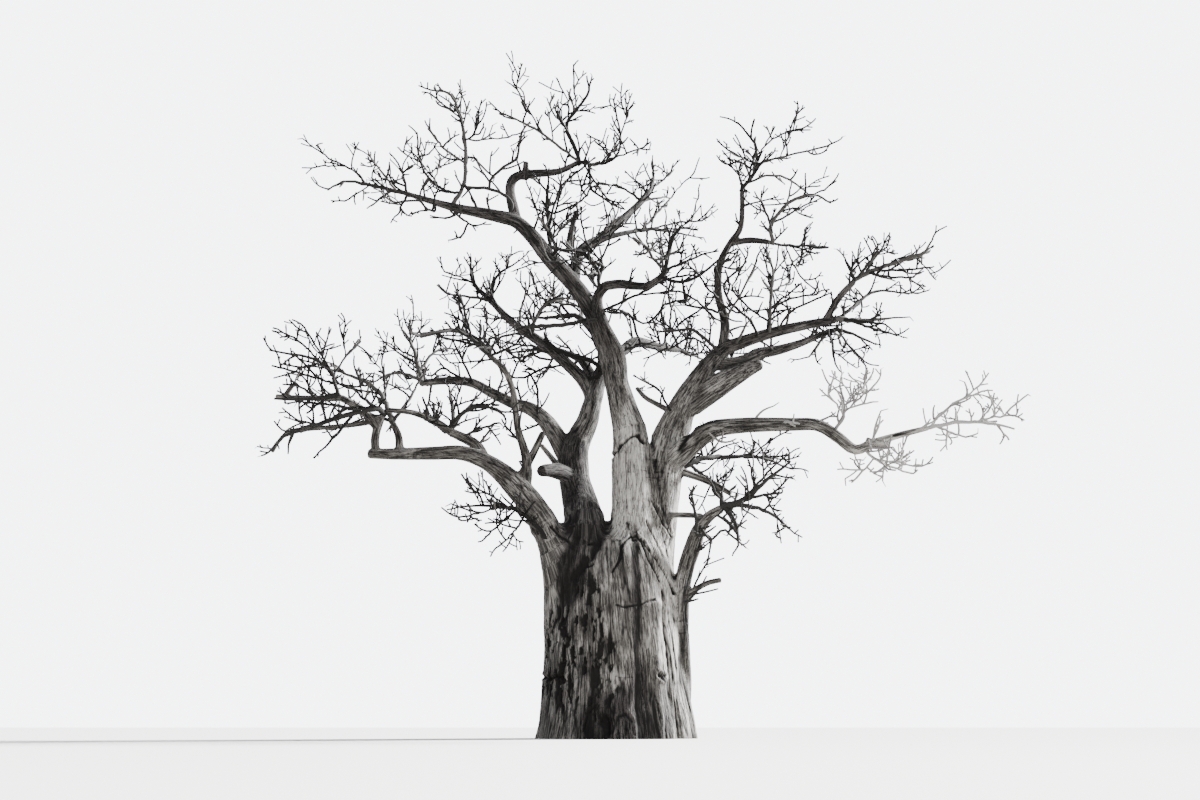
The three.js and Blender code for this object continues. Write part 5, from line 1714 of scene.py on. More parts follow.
    def part(
        self, points: Array, quads: Array, owner: Array, values: dict[str, Array],
        finish: BarkFinish,
    ) -> None:
        """Parts the skin into closed pieces at the limbs' joints, cut flat at the ground.

        Args:
            points: The skin's points.
            quads: Its faces.
            owner: The piece that each point goes to.
            values: The attributes of the points.
            finish: The bark.
        """
        kept = quads[points[quads][:, :, 2].mean(1) >= 0]
        points[:, 2] = np.maximum(points[:, 2], 0)
        points[self.rim(kept, len(points)).ravel(), 2] = 0
        normals = self.normals(points, kept)
        face_owner = np.median(owner[kept], axis=1).astype(int)
        for number, (name, members) in enumerate(self.members().items()):
            chosen = kept[face_owner == number]
            used = np.unique(chosen)
            index = np.full(len(points), -1)
            index[used] = np.arange(len(used))
            local = index[chosen]
            spots, caps = self.capped(points[used], local)
            mesh = grid_mesh(name, spots, local, caps)
            extra = len(spots) - len(used)
            for key, value in values.items():
                filler = np.zeros((extra, *value.shape[1:]), value.dtype)
                add_attribute(mesh, key, np.concatenate((value[used], filler)))
            ways = np.concatenate((normals[used], np.tile((0.0, 0.0, -1.0), (extra, 1))))
            mesh.normals_split_custom_set_from_vertices(ways.tolist())
            mesh.materials.append(finish.material())
            piece = show(name, mesh)
            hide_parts(*(bough for bough in CAD_BOUGHS if bough in members))
            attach(piece, BODY)
            logger.info("%s: %d triangles", name, 2 * len(local) + len(caps))

    @staticmethod
    def rim(quads: Array, count: int) -> Array:
        """The edges that only one face has, each as its start and its end.

        Args:
            quads: Four-sided faces.
            count: How many points there are.

        Returns:
            The edges, n by 2.
        """
        starts = quads.ravel().astype(np.int64)
        ends = np.roll(quads, -1, axis=1).ravel().astype(np.int64)
        lonely = ~np.isin(starts * count + ends, ends * count + starts)
        return np.stack((starts[lonely], ends[lonely]), 1)

    @staticmethod
    def capped(points: Array, quads: Array) -> tuple[Array, Array]:
        """Closes every open rim with a fan round its middle.

        Args:
            points: The corners.
            quads: The four-sided faces.

        Returns:
            The corners with the new ones, and the fans' triangles.
        """
        count = len(points)
        a, b = BarkSkin.rim(quads, count).T
        label = {int(v): int(v) for v in np.concatenate((a, b))}

        def root(v: int) -> int:
            """The rim that a corner is on.

            Args:
                v: The corner.

            Returns:
                The corner that stands for its rim.
            """
            while label[v] != v:
                label[v] = label[label[v]]
                v = label[v]
            return v

        for i, j in zip(a.tolist(), b.tolist()):
            label[root(i)] = root(j)
        rims = np.array([root(int(v)) for v in a])
        triangles, middles = [], []
        for rim in np.unique(rims):
            chosen = rims == rim
            middle = count + len(middles)
            middles.append(points[a[chosen]].mean(0))
            triangles += [(j, i, middle) for i, j in zip(a[chosen], b[chosen])]
        if not middles:
            return points, np.zeros((0, 3), int)
        return np.concatenate((points, middles)), np.array(triangles)


class Tone(Enum):
    """The plain colours that are dealt out to the sprays of twigs."""

    DARK = 0
    MIDDLE = 1
    PALE = 2


@dataclass
class Thread:
    """A twig to be swept: its path, and the tone of its spray."""

    path: Path
    tone: Tone = Tone.MIDDLE


def joined_mesh(name: str, meshes: list[Mesh]) -> Mesh:
    """One mesh of several. The others are removed.

    Args:
        name: The mesh's name.
        meshes: The meshes.

    Returns:
        The one mesh.
    """
    pieces = [show(f"{name}_{i}", mesh) for i, mesh in enumerate(meshes)]
    with bpy.context.temp_override(
        active_object=pieces[0], object=pieces[0], selected_editable_objects=pieces
    ):
        bpy.ops.object.join()
    mesh = pieces[0].data
    bpy.data.objects.remove(pieces[0])
    mesh.name = name
    return mesh


class Wiring:
    """A node tree with a short way to add a node and feed it."""

    def __init__(self, tree: NodeTree) -> None:
        """Keeps the tree."""
        self.tree = tree

    def node(self, kind: str, feeds: dict | None = None, **settings: object) -> Node:
        """Adds a node.

        Args:
            kind: The kind of node.
            feeds: What goes into its sockets, by name or number: a value or an output.
            settings: The node's own settings.

        Returns:
            The node.
        """
        node = self.tree.nodes.new(kind)
        for key, value in settings.items():
            setattr(node, key, value)
        for key, value in (feeds or {}).items():
            if isinstance(value, NodeSocket):
                self.tree.links.new(value, node.inputs[key])
            else:
                node.inputs[key].default_value = value
        return node

    def noise(self, place: NodeSocket, scale: object, **shape: float) -> NodeSocket:
        """The values of a noise texture."""
        feeds = {"Vector": place, "Scale": scale} | {key.title(): shape[key] for key in shape}
        return self.node("ShaderNodeTexNoise", feeds).outputs[0]

    def math(self, operation: str, *values: object) -> NodeSocket:
        """The result of a sum on one or two values."""
        return self.node("ShaderNodeMath", dict(enumerate(values)), operation=operation).outputs[0]

    def socket(self, name: str, kind: str, way: str = "INPUT") -> str:
        """Adds a socket to the tree and gives its identifier."""
        made = self.tree.interface.new_socket(name=name, in_out=way, socket_type=kind)
        return made.identifier


class Sweep:
    """Geometry Nodes that sweep a ring along threads and set spurs on them."""

    SOCKETS = {
        "Sides": "NodeSocketInt", "Spur Spacing": "NodeSocketFloat",
        "Spur Length": "NodeSocketFloat", "Spur Share": "NodeSocketFloat",
        "Seed": "NodeSocketInt", "Dark Finish": "NodeSocketMaterial",
        "Middle Finish": "NodeSocketMaterial", "Pale Finish": "NodeSocketMaterial",
    }
    SPUR_SIDES = 4
    SPUR_FOOT = 0.1
    SPUR_TIP = 0.07
    SPUR_SIZES = (0.35, 1.0)
    SPUR_LEANS = (0.6, 1.25)

    def __init__(self, name: str) -> None:
        """Builds the node tree.

        Args:
            name: The tree's name.
        """
        self.tree = bpy.data.node_groups.new(name, "GeometryNodeTree")
        self.wiring = Wiring(self.tree)
        self.wiring.socket("Threads", "NodeSocketGeometry")
        self.inputs = {
            label: self.wiring.socket(label, kind) for label, kind in self.SOCKETS.items()
        }
        self.wiring.socket("Mesh", "NodeSocketGeometry", "OUTPUT")
        self._wire()

    def _attribute(self, name: str) -> NodeSocket:
        """The value of an attribute of the threads.

        Args:
            name: The attribute's name.

        Returns:
            Its socket.
        """
        add = self.wiring.node
        feeds = {"Name": name}
        return add("GeometryNodeInputNamedAttribute", feeds, data_type="FLOAT").outputs[0]

    def _wire(self) -> None:
        """Places the nodes and links them."""
        add = self.wiring.node
        given = add("NodeGroupInput").outputs
        curve = add("GeometryNodeMeshToCurve", {"Mesh": given["Threads"]}).outputs[0]
        feeds = {"Resolution": given["Sides"], "Radius": 1.0}
        ring = add("GeometryNodeCurvePrimitiveCircle", feeds)
        tube = add("GeometryNodeCurveToMesh", {
            "Curve": curve, "Profile Curve": ring.outputs[0],
            "Scale": self._attribute("thread_radius"), "Fill Caps": True,
        })
        joined = add("GeometryNodeJoinGeometry", {"Geometry": self._spurs(given, curve)})
        self.tree.links.new(tube.outputs[0], joined.inputs["Geometry"])
        last = add("GeometryNodeSetShadeSmooth", {"Geometry": joined.outputs[0]}).outputs[0]
        feeds = {"Geometry": last, "Material": given["Middle Finish"]}
        last = add("GeometryNodeSetMaterial", feeds).outputs[0]
        for label, operation, limit in (
            ("Dark Finish", "LESS_THAN", 0.5), ("Pale Finish", "GREATER_THAN", 1.5),
        ):
            test = add(
                "FunctionNodeCompare", {"A": self._attribute("tone"), "B": limit},
                data_type="FLOAT", operation=operation,
            )
            last = add("GeometryNodeSetMaterial", {
                "Geometry": last, "Material": given[label], "Selection": test.outputs[0],
            }).outputs[0]
        add("NodeGroupOutput", {"Mesh": last})

    def _chance(self, given: Sockets, step: int) -> NodeSocket:
        """A seed of its own for each of the random values."""
        return self.wiring.math("ADD", given["Seed"], float(step))

    def _random(self, given: Sockets, step: int, bounds: Bounds) -> NodeSocket:
        """A random value between two bounds."""
        feeds = {2: bounds[0], 3: bounds[1], "Seed": self._chance(given, step)}
        return self.wiring.node("FunctionNodeRandomValue", feeds, data_type="FLOAT").outputs[1]

    def _spurs(self, given: Sockets, curve: NodeSocket) -> NodeSocket:
        """Short spurs that stand out of the threads, as real geometry.

        Args:
            given: The tree's inputs.
            curve: The threads.

        Returns:
            The spurs.
        """
        add = self.wiring.node
        dots = add(
            "GeometryNodeCurveToPoints", {"Curve": curve, "Length": given["Spur Spacing"]},
            mode="LENGTH",
        ).outputs
        cone = add("GeometryNodeMeshCone", {
            "Vertices": self.SPUR_SIDES, "Radius Top": self.SPUR_TIP,
            "Radius Bottom": self.SPUR_FOOT, "Depth": 1.0,
        }, fill_type="NGON")
        bears = add("FunctionNodeRandomValue", {
            "Probability": given["Spur Share"], "Seed": self._chance(given, 1),
        }, data_type="BOOLEAN").outputs[3]
        size = self.wiring.math(
            "MULTIPLY", self._random(given, 2, self.SPUR_SIZES), given["Spur Length"]
        )
        placed = add("GeometryNodeInstanceOnPoints", {
            "Points": dots["Points"], "Selection": bears, "Instance": cone.outputs["Mesh"],
            "Rotation": dots["Rotation"], "Scale": size,
        })
        turn = add("ShaderNodeCombineXYZ", {
            "X": self._random(given, 3, self.SPUR_LEANS),
            "Z": self._random(given, 4, (0.0, 2 * math.pi)),
        })
        turned = add("GeometryNodeRotateInstances", {
            "Instances": placed.outputs[0], "Rotation": turn.outputs[0], "Local Space": True,
        })
        return add("GeometryNodeRealizeInstances", {"Geometry": turned.outputs[0]}).outputs[0]

    def run(
        self, name: str, threads: list[Thread], sides: int, finishes: tuple = (),
        **values: float,
    ) -> Mesh:
        """Sweeps threads into a plain mesh.

        Args:
            name: The mesh's name.
            threads: What to sweep.
            sides: How many sides each ring has.
            finishes: The dark, middle and pale finish.
            values: Other named inputs of the tree, with _ for a space.

        Returns:
            The mesh.
        """
        points, edges, radii, tones = [], [], [], []
        for thread in threads:
            start = len(points)
            points += [tuple(point * MILLIMETRE) for point in thread.path.points]
            radii += [radius * MILLIMETRE for radius in thread.path.radii]
            tones += [thread.tone.value] * len(thread.path.points)
            edges += [(i, i + 1) for i in range(start, len(points) - 1)]
        lines = bpy.data.meshes.new(name)
        lines.from_pydata(points, edges, [])
        add_attribute(lines, "thread_radius", np.array(radii))
        add_attribute(lines, "tone", np.array(tones, float))
        piece = show(name, lines)
        grow = piece.modifiers.new("grow", "NODES")
        grow.node_group = self.tree
        given = {"Sides": sides, "Spur Spacing": 1.0, "Spur Length": 0.1, "Spur Share": 0.0}
        given |= {key.replace("_", " ").title(): value for key, value in values.items()}
        given |= dict(zip(("Dark Finish", "Middle Finish", "Pale Finish"), finishes))
        for label, value in given.items():
            grow[self.inputs[label]] = value
        return made_plain(piece, name)


@dataclass
class Segments:
    """Straight segments of limbs and twigs with their owners, for tests of clearance."""

    start: Array
    end: Array
    radius: Array
    owner: Array

    @classmethod
    def of(cls, paths: Iterable[tuple[str, Path]]) -> Segments:
        """The segments of named paths.

        Args:
            paths: Each path after its owner's name.

        Returns:
            The segments.
        """
        rows, owners = [], []
        for name, path in paths:
            for i in range(len(path.points) - 1):
                girth = max(path.radii[i], path.radii[i + 1])
                rows.append((*path.points[i], *path.points[i + 1], girth))
                owners.append(name)
        table = np.array(rows, float).reshape(-1, 7)
        return cls(table[:, 0:3], table[:, 3:6], table[:, 6], np.array(owners, object))

    def chosen(self, mask: Array) -> Segments:
        """Those that a mask picks."""
        return Segments(self.start[mask], self.end[mask], self.radius[mask], self.owner[mask])

    def gaps(self, a: Vector, b: Vector) -> Array:
        """The least distance of each one's middle from the line between two points.

        Args:
            a: The one end of the line.
            b: The other end.

        Returns:
            A distance for each segment.
        """
        u, v, w = np.array(b - a), self.end - self.start, np.array(a) - self.start
        uu, uv, vv = u @ u, v @ u, (v * v).sum(1)
        uw, vw = w @ u, (v * w).sum(1)
        parallel = uu * vv - uv * uv
        usable = parallel > 0
        s = np.clip((uv * vw - vv * uw) / np.where(usable, parallel, 1), 0, 1) * usable
        t = np.clip((uv * s + vw) / vv, 0, 1)
        s = np.clip((uv * t - uw) / uu, 0, 1)
        return np.linalg.norm(w + s[:, None] * u - t[:, None] * v, axis=1)

    def clear(self, path: Path, clearance: float, first: int = 0) -> bool:
        """Whether a path, from its segment `first` on, keeps clear of all of these.

        Args:
            path: The path.
            clearance: The gap that it has to keep.
            first: Its first segment that counts.

        Returns:
            Whether it keeps clear.
        """
        if not len(self.radius):
            return True
        for i in range(first, len(path.points) - 1):
            girth = max(path.radii[i], path.radii[i + 1])
            gaps = self.gaps(path.points[i], path.points[i + 1])
            if not (gaps > girth + self.radius + clearance).all():
                return False
        return True

    def nearest_owner(self, point: Vector) -> str:
        """The owner of the one nearest to a point."""
        return self.owner[self.gaps(point, point + Vector((0, 0, 1))).argmin()]


@dataclass
class Crown:
    """The twigs: the solids' own, and the finer ones that they are carried on to.

    Its lengths are in millimetres, but those of the spurs, which the sweep reads, in metres.
    """

    skeleton: Skeleton
    low: Vector
    high: Vector
    joint: float = 150.0
    zigzag: float = 0.13
    knots: Bounds = (0.93, 1.07)
    tip_share: float = 1.5
    seat: float = 1.2
    sprig_taper: float = 0.55
    fine_spacing: float = 600.0
    fine_stretch: Bounds = (0.12, 0.98)
    fine_length: Bounds = (350.0, 950.0)
    fine_diameter: float = 72.0
    fine_tip: float = 44.0
    fine_shortening: Bounds = (1.15, 0.75)
    fine_joint: float = 150.0
    fine_clearance: float = 12.0
    long_twig: float = 500.0
    curl: float = 0.5
    bend: float = 0.45
    lift: float = 0.1
    fork_share: float = 0.6
    fork_length: Bounds = (0.25, 0.6)
    fork_shortening: float = 0.25
    fork_sway: float = 0.25
    fork_radii: Bounds = (0.9, 0.8)
    fork_rise: float = 0.7
    end_turn: float = 0.4
    place_jitter: float = 0.8
    bough_spacing: float = 800.0
    bough_limit: float = 260.0
    bough_end: float = 0.97
    uprightness: float = 0.5
    bough_length: Bounds = (350.0, 1150.0)
    bough_clearance: float = 20.0
    bough_girth: float = 1.3
    sides: int = 5
    spur_spacing: float = 0.35
    spur_length: float = 0.22
    spur_share: float = 0.14
    tones: Bounds = (0.5, 0.9)
    limbs: Segments | None = None
    leading: Segments | None = None

    # The far low east sprays take paler finishes: painted light for the glare on them
    GLARE_REGION = "low_east_sprays"
    GLARE_TONES = {"low_east": (0.0, 0.6), "side": (1.1, 1.1)}
    REGIONS = {
        "west_sprays": WEST_MASSES,
        "back_sprays": BACK_MASSES,
        "crown_sprays": CROWN_MASSES,
        "east_sprays": EAST_MASSES,
        "low_east_sprays": LOW_EAST_MASSES,
    }

    @staticmethod
    def twig(start: Vector, points: Iterable, diameter: float, random: Stream) -> Path:
        """A twig through points to its tip, with small kinks at its joints.

        Args:
            start: Where it leaves.
            points: The points that follow.
            diameter: Its diameter at the start.
            random: The stream of its kinks.

        Returns:
            Its path.
        """
        line = [tuple(start), *(tuple(point) for point in points)]
        joints = len(line)
        kink = 2 * TWIG_KINK * (line_length(line) / joints)
        tip = min(diameter, TWIG_TIP_DIAMETER)
        path = Path.along([(*point, 0) for point in line], joints)
        for i in range(joints + 1):
            path.radii[i] = (diameter + (tip - diameter) * (i / joints)) / 2
            if 0 < i < joints:
                path.points[i] += random.nudge(kink)
        return path

    def leaders(self, mass: Mass) -> list[Path]:
        """A mass's stem and leaders, as the solids have them.

        Args:
            mass: The mass.

        Returns:
            The stem, then the leaders.
        """
        facing, girth, points = None, mass.diameter, mass.stem[1:]
        foot = start = Vector(mass.stem[0])
        if not mass.diameter:
            carrier = self.skeleton.path(mass.carrier)
            facing = carrier.direction(len(carrier.points) - 1)
            foot, girth = carrier.points[-1] + facing * GAP, 2 * carrier.radii[-1]
            start, points = foot + facing * LEAD_IN * girth, mass.stem
        main = self.twig(start, points, girth, Stream(f"{mass.name} stem"))
        if facing:
            main.points.insert(0, foot)
            main.radii.insert(0, girth / 2)
        grown = [main]
        for carrier_number, share, *line in mass.leaders:
            at, radius, _ = grown[carrier_number].at(share)
            random = Stream(f"{mass.name} leader {len(grown)}")
            grown.append(self.twig(at, line, 2 * radius * LEADER_THINNING, random))
        return grown

    @staticmethod
    def side_heading(along: Vector, turn: float, random: Stream) -> Vector:
        """The heading of a side twig: turned out from its leader, then upwards.

        Args:
            along: The way that the leader runs.
            turn: How far round it, in radians.
            random: The stream of its angle.

        Returns:
            The heading.
        """
        level = Vector((0, 0, 1)).cross(along)
        if level.length < PARALLEL_SINE:
            level = Vector((1, 0, 0))
        level.normalize()
        over = along.cross(level)
        angle = math.radians(random.between(SIDE_ANGLE))
        out = level * math.cos(turn) + over * math.sin(turn)
        heading = along * math.cos(angle) + out * math.sin(angle)
        heading.z += SIDE_LIFT
        return heading.normalized()

    def side_twigs(self, name: str, leaders: list[Path]) -> list[Path]:
        """The side twigs of a mass that have room, by the solids' rule.

        Args:
            name: The mass.
            leaders: Its stem and leaders.

        Returns:
            The side twigs.
        """
        grown: list[Path] = []
        strangers = self.leading.chosen(self.leading.owner != name)
        for number, leader in enumerate(leaders):
            reach = leader.length()
            count = math.floor((SIDE_STRETCH[1] - SIDE_STRETCH[0]) * reach / SIDE_SPACING) + 1
            start = Stream(f"{name} turn {number}")() * 2 * math.pi
            for k in range(count):
                random = Stream(f"{name} side {number} {k}")
                share = between(SIDE_STRETCH, (k + random()) / count)
                at, radius, along = leader.at(share)
                heading = self.side_heading(along, start + k * GOLDEN_TURN, random)
                length = random.between(SIDE_LENGTH) * reach * between(SIDE_SHORTENING, share)
                span = min(max(length, SIDE_BOUNDS[0]), SIDE_BOUNDS[1])
                tip = at + heading * span
                tip.z += SIDE_RISE * span
                girth = max(2 * radius * SIDE_THINNING, TWIG_TIP_DIAMETER)
                side = self.twig(at, [tip], girth, random)
                near = Segments.of(
                    (name, path) for path in (*leaders, *grown) if path is not leader
                )
                if (
                    self.limbs.clear(side, TWIG_CLEARANCE)
                    and strangers.clear(side, TWIG_CLEARANCE)
                    and near.clear(side, TWIG_CLEARANCE, len(side.points) - 2)
                    and self.leading.nearest_owner(tip) == name
                ):
                    grown.append(side)
        return grown

    def crooked(self, path: Path, name: str) -> Path:
        """A solid's twig as it looks: crooked, knotted, and thinner to its tip.

        Args:
            path: The solid's twig.
            name: What names its stream.

        Returns:
            The path as it looks.
        """
        fine = path.finer(self.joint)
        random = Stream(f"{name} crook")
        last = len(fine.points) - 1
        sway = self.zigzag * self.joint
        for i in range(1, last + 1):
            thin = between((1.0, self.tip_share), i / last)
            fine.radii[i] *= thin * random.between(self.knots)
            if i < last:
                fine.points[i] += random.nudge(2 * sway)
        return fine

    def tone(self, random: Stream, name: str) -> Tone:
        """A tone dealt out to a spray of a mass or bough.

        Args:
            random: The stream that deals the tones.
            name: The mass or bough.

        Returns:
            The tone.
        """
        low, high = next(
            (steps for start, steps in self.GLARE_TONES.items() if name.startswith(start)),
            self.tones,
        )
        share = random()
        return Tone.DARK if share < low else Tone.MIDDLE if share < high else Tone.PALE

    def inside(self, path: Path) -> bool:
        """Whether a path stays within the solids' outer reach.

        Args:
            path: The path.

        Returns:
            Whether it does.
        """
        return all(
            low <= value <= high
            for point in path.points
            for low, value, high in zip(self.low, point, self.high)
        )

    def spray(
        self, at: Vector, heading: Vector, length: float, girth: float, random: Stream
    ) -> list[Path]:
        """A fine twig that wanders, with the forks near its tip.

        Args:
            at: Where it leaves.
            heading: The way that it leaves.
            length: Its length.
            girth: Its diameter at the foot.
            random: The stream that shapes it.

        Returns:
            The twig and its forks.
        """
        joints = 3 + int(length > self.long_twig)
        tip = min(girth, self.fine_tip)
        points, way = [at], heading.copy()
        curl = random.nudge() * self.curl
        for _ in range(joints):
            bend = random.nudge() * self.bend
            way = (way + curl + bend + Vector((0, 0, self.lift))).normalized()
            points.append(points[-1] + way * (length / joints))
        radii = [between((girth, tip), i / joints) / 2 for i in range(joints + 1)]
        grown = [Path(points, radii).finer(self.fine_joint)]
        for i in range(1, joints):
            if random() > self.fork_share:
                continue
            along = (points[i + 1] - points[i]).normalized()
            fork = self.side_heading(along, random() * 2 * math.pi, random)
            shorter = 1 - self.fork_shortening * i / joints
            reach = length * random.between(self.fork_length) * shorter
            middle = points[i] + fork * reach * 0.5
            sway = Vector([random() - 0.5, random() - 0.5, random() * self.fork_rise])
            end = middle + fork * reach * 0.5 + sway * reach * self.fork_sway
            fork_radii = [*(radii[i] * share for share in self.fork_radii), tip / 2]
            grown.append(Path([points[i], middle, end], fork_radii).finer(self.fine_joint))
        return grown

    def fine_twigs(self, name: str, number: int, carrier: Path) -> list[list[Path]]:
        """The sprays along one of a mass's twigs.

        Args:
            name: The mass.
            number: The twig's number in it.
            carrier: The twig as it looks.

        Returns:
            The sprays, each with its twigs.
        """
        grown = []
        count = max(2, round(carrier.length() / self.fine_spacing))
        turn = Stream(f"{name} fine turn {number}")() * 2 * math.pi
        for k in range(count + 1):
            random = Stream(f"{name} fine {number} {k}")
            share = between(self.fine_stretch, min(1.0, (k + self.place_jitter * random()) / count))
            at, radius, along = carrier.at(min(share, 0.999))
            heading = self.side_heading(along, turn + k * GOLDEN_TURN, random)
            if k == count:
                heading = (along + self.end_turn * heading).normalized()
            length = random.between(self.fine_length) * between(self.fine_shortening, share)
            girth = min(self.fine_diameter, 2 * radius)
            twigs = self.spray(at, heading, length, girth, random)
            kept = [twig for twig in twigs if self.has_room(name, twig)]
            if kept and kept[0] is twigs[0]:
                grown.append(kept)
        return grown

    def has_room(self, name: str, path: Path) -> bool:
        """Whether a fine twig of a mass keeps to its place and clear of the limbs.

        Args:
            name: The mass.
            path: The twig.

        Returns:
            Whether it does.
        """
        return (
            self.inside(path)
            and (name in SPRIGS or self.leading.nearest_owner(path.points[-1]) == name)
            and self.limbs.clear(path, self.fine_clearance, 1)
        )

    def sprigs(self, name: str) -> list[Path]:
        """The thicker twigs of a bough, each from the nearest of it and those before.

        Args:
            name: The bough.

        Returns:
            Their paths.
        """
        grown = [self.skeleton.path(name).finer(self.joint)]
        for diameter, depth, step, *line in SPRIGS[name]:
            points = [(x, depth + i * step, z) for i, (x, z) in enumerate(line)]
            first = Vector(points[0])
            spots = [spot for path in grown for spot in path.points]
            foot = min(spots, key=lambda spot: (spot - first).length)
            rest = points if (foot - first).length > self.joint else points[1:]
            last = len(rest)
            tip = max(self.fine_tip, self.sprig_taper * diameter)
            stations = [(*foot, diameter)]
            stations += [
                (*point, between((diameter, tip), i / last)) for i, point in enumerate(rest, 1)
            ]
            grown.append(Path.along(tuple(stations), max(2, 2 * last)))
        return grown[1:]

    def bough_sprays(self, name: str, bough: Path) -> list[list[Path]]:
        """Sprays that stand straight on a bough.

        Args:
            name: The bough.
            bough: Its path.

        Returns:
            The sprays, each with its twigs.
        """
        grown = []
        count = round(bough.length() / self.bough_spacing)
        others = self.limbs.chosen(self.limbs.owner != name)
        for k in range(count):
            random = Stream(f"{name} spray {k}")
            at, radius, along = bough.at(min(self.bough_end, (k + random()) / count))
            if radius > self.bough_limit:
                continue
            heading = self.side_heading(along, k * GOLDEN_TURN + random(), random)
            out = heading - along * heading.dot(along)
            heading = (heading + self.uprightness * out).normalized()
            length = radius + random.between(self.bough_length)
            girth = min(self.bough_girth * self.fine_diameter, radius)
            twigs = self.spray(at, heading, length, girth, random)
            kept = [
                twig for twig in twigs
                if self.inside(twig) and others.clear(twig, self.bough_clearance)
            ]
            if kept and kept[0] is twigs[0]:
                grown.append(kept)
        return grown

    def dressing(self, bough: str) -> list[Thread]:
        """The sprigs and sprays that stand on a bough and on its short limbs.

        Args:
            bough: The bough's name.

        Returns:
            Their threads.
        """
        threads: list[Thread] = []
        random = Stream(f"{bough} tone")
        short = [limb.name for limb in SMALL_LIMBS if limb.carrier == bough]
        for name in (bough, *short):
            path = self.skeleton.all_paths()[name]
            threads += self.toned(self.bough_sprays(name, path), random, bough)
        for number, sprig in enumerate(self.sprigs(bough) if bough in SPRIGS else ()):
            look = self.crooked(sprig, f"{bough} sprig {number}")
            threads.append(Thread(look, self.tone(random, bough)))
            threads += self.toned(self.fine_twigs(bough, number, look), random, bough)
        return threads

    def grown(self, mass: Mass, leaders: list[Path]) -> list[Thread]:
        """A mass's own twigs as they look, with the finer ones that they carry.

        Args:
            mass: The mass.
            leaders: Its stem and leaders.

        Returns:
            Its threads.
        """
        threads: list[Thread] = []
        for number, twig in enumerate((*leaders, *self.side_twigs(mass.name, leaders))):
            random = Stream(f"{mass.name} tone {number}")
            look = self.crooked(twig, f"{mass.name} {number}")
            if number == 0 and not mass.diameter:
                inward = (look.points[1] - look.points[0]).normalized()
                foot = look.points[0] - inward * (self.seat * look.radii[0])
                look.points.insert(0, foot)
                look.radii.insert(0, look.radii[0])
            threads.append(Thread(look, self.tone(random, mass.name)))
            threads += self.toned(self.fine_twigs(mass.name, number, look), random, mass.name)
        return threads

    def toned(self, sprays: list[list[Path]], random: Stream, name: str) -> list[Thread]:
        """The twigs of sprays, each spray in a tone of its own.

        Args:
            sprays: The sprays.
            random: The stream that deals the tones.
            name: The mass or bough that carries them.

        Returns:
            Their threads.
        """
        threads: list[Thread] = []
        for spray in sprays:
            tone = self.tone(random, name)
            threads += [Thread(twig, tone) for twig in spray]
        return threads

    def build(self, finishes: tuple[Material, ...]) -> None:
        """Grows every twig and sweeps them, one piece for each region of the crown.

        Args:
            finishes: The dark, middle and pale tone, then the same three paler, as painted glare.
        """
        paths = self.skeleton.solid_paths()
        trunk = [(x, y, z, 2 * wide) for z, x, y, wide, *_ in TRUNK_LEVELS]
        named = [("trunk", Path.along(trunk, len(TRUNK_LEVELS))), *paths.items()]
        self.limbs = Segments.of(named)
        leaders = {
            mass.name: self.leaders(mass) for masses in self.REGIONS.values() for mass in masses
        }
        self.leading = Segments.of(
            (name, path) for name, group in leaders.items() for path in group
        )
        sweep = Sweep("twig_sweep")
        dressed: set[str] = set()
        for seed, (region, masses) in enumerate(self.REGIONS.items(), 1):
            threads: list[Thread] = []
            for mass in masses:
                threads += self.grown(mass, leaders[mass.name])
                if mass.carrier in self.skeleton.boughs and mass.carrier not in dressed:
                    dressed.add(mass.carrier)
                    threads += self.dressing(mass.carrier)
            tones = finishes[3:] if region == self.GLARE_REGION else finishes[:3]
            mesh = sweep.run(
                region, threads, self.sides, tones, spur_spacing=self.spur_spacing,
                spur_length=self.spur_length, spur_share=self.spur_share, seed=seed,
            )
            piece = show(region, mesh)
            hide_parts(*(mass.name for mass in masses))
            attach(piece, BODY)
            logger.info("%s: %d twigs, %d faces", region, len(threads), len(mesh.polygons))


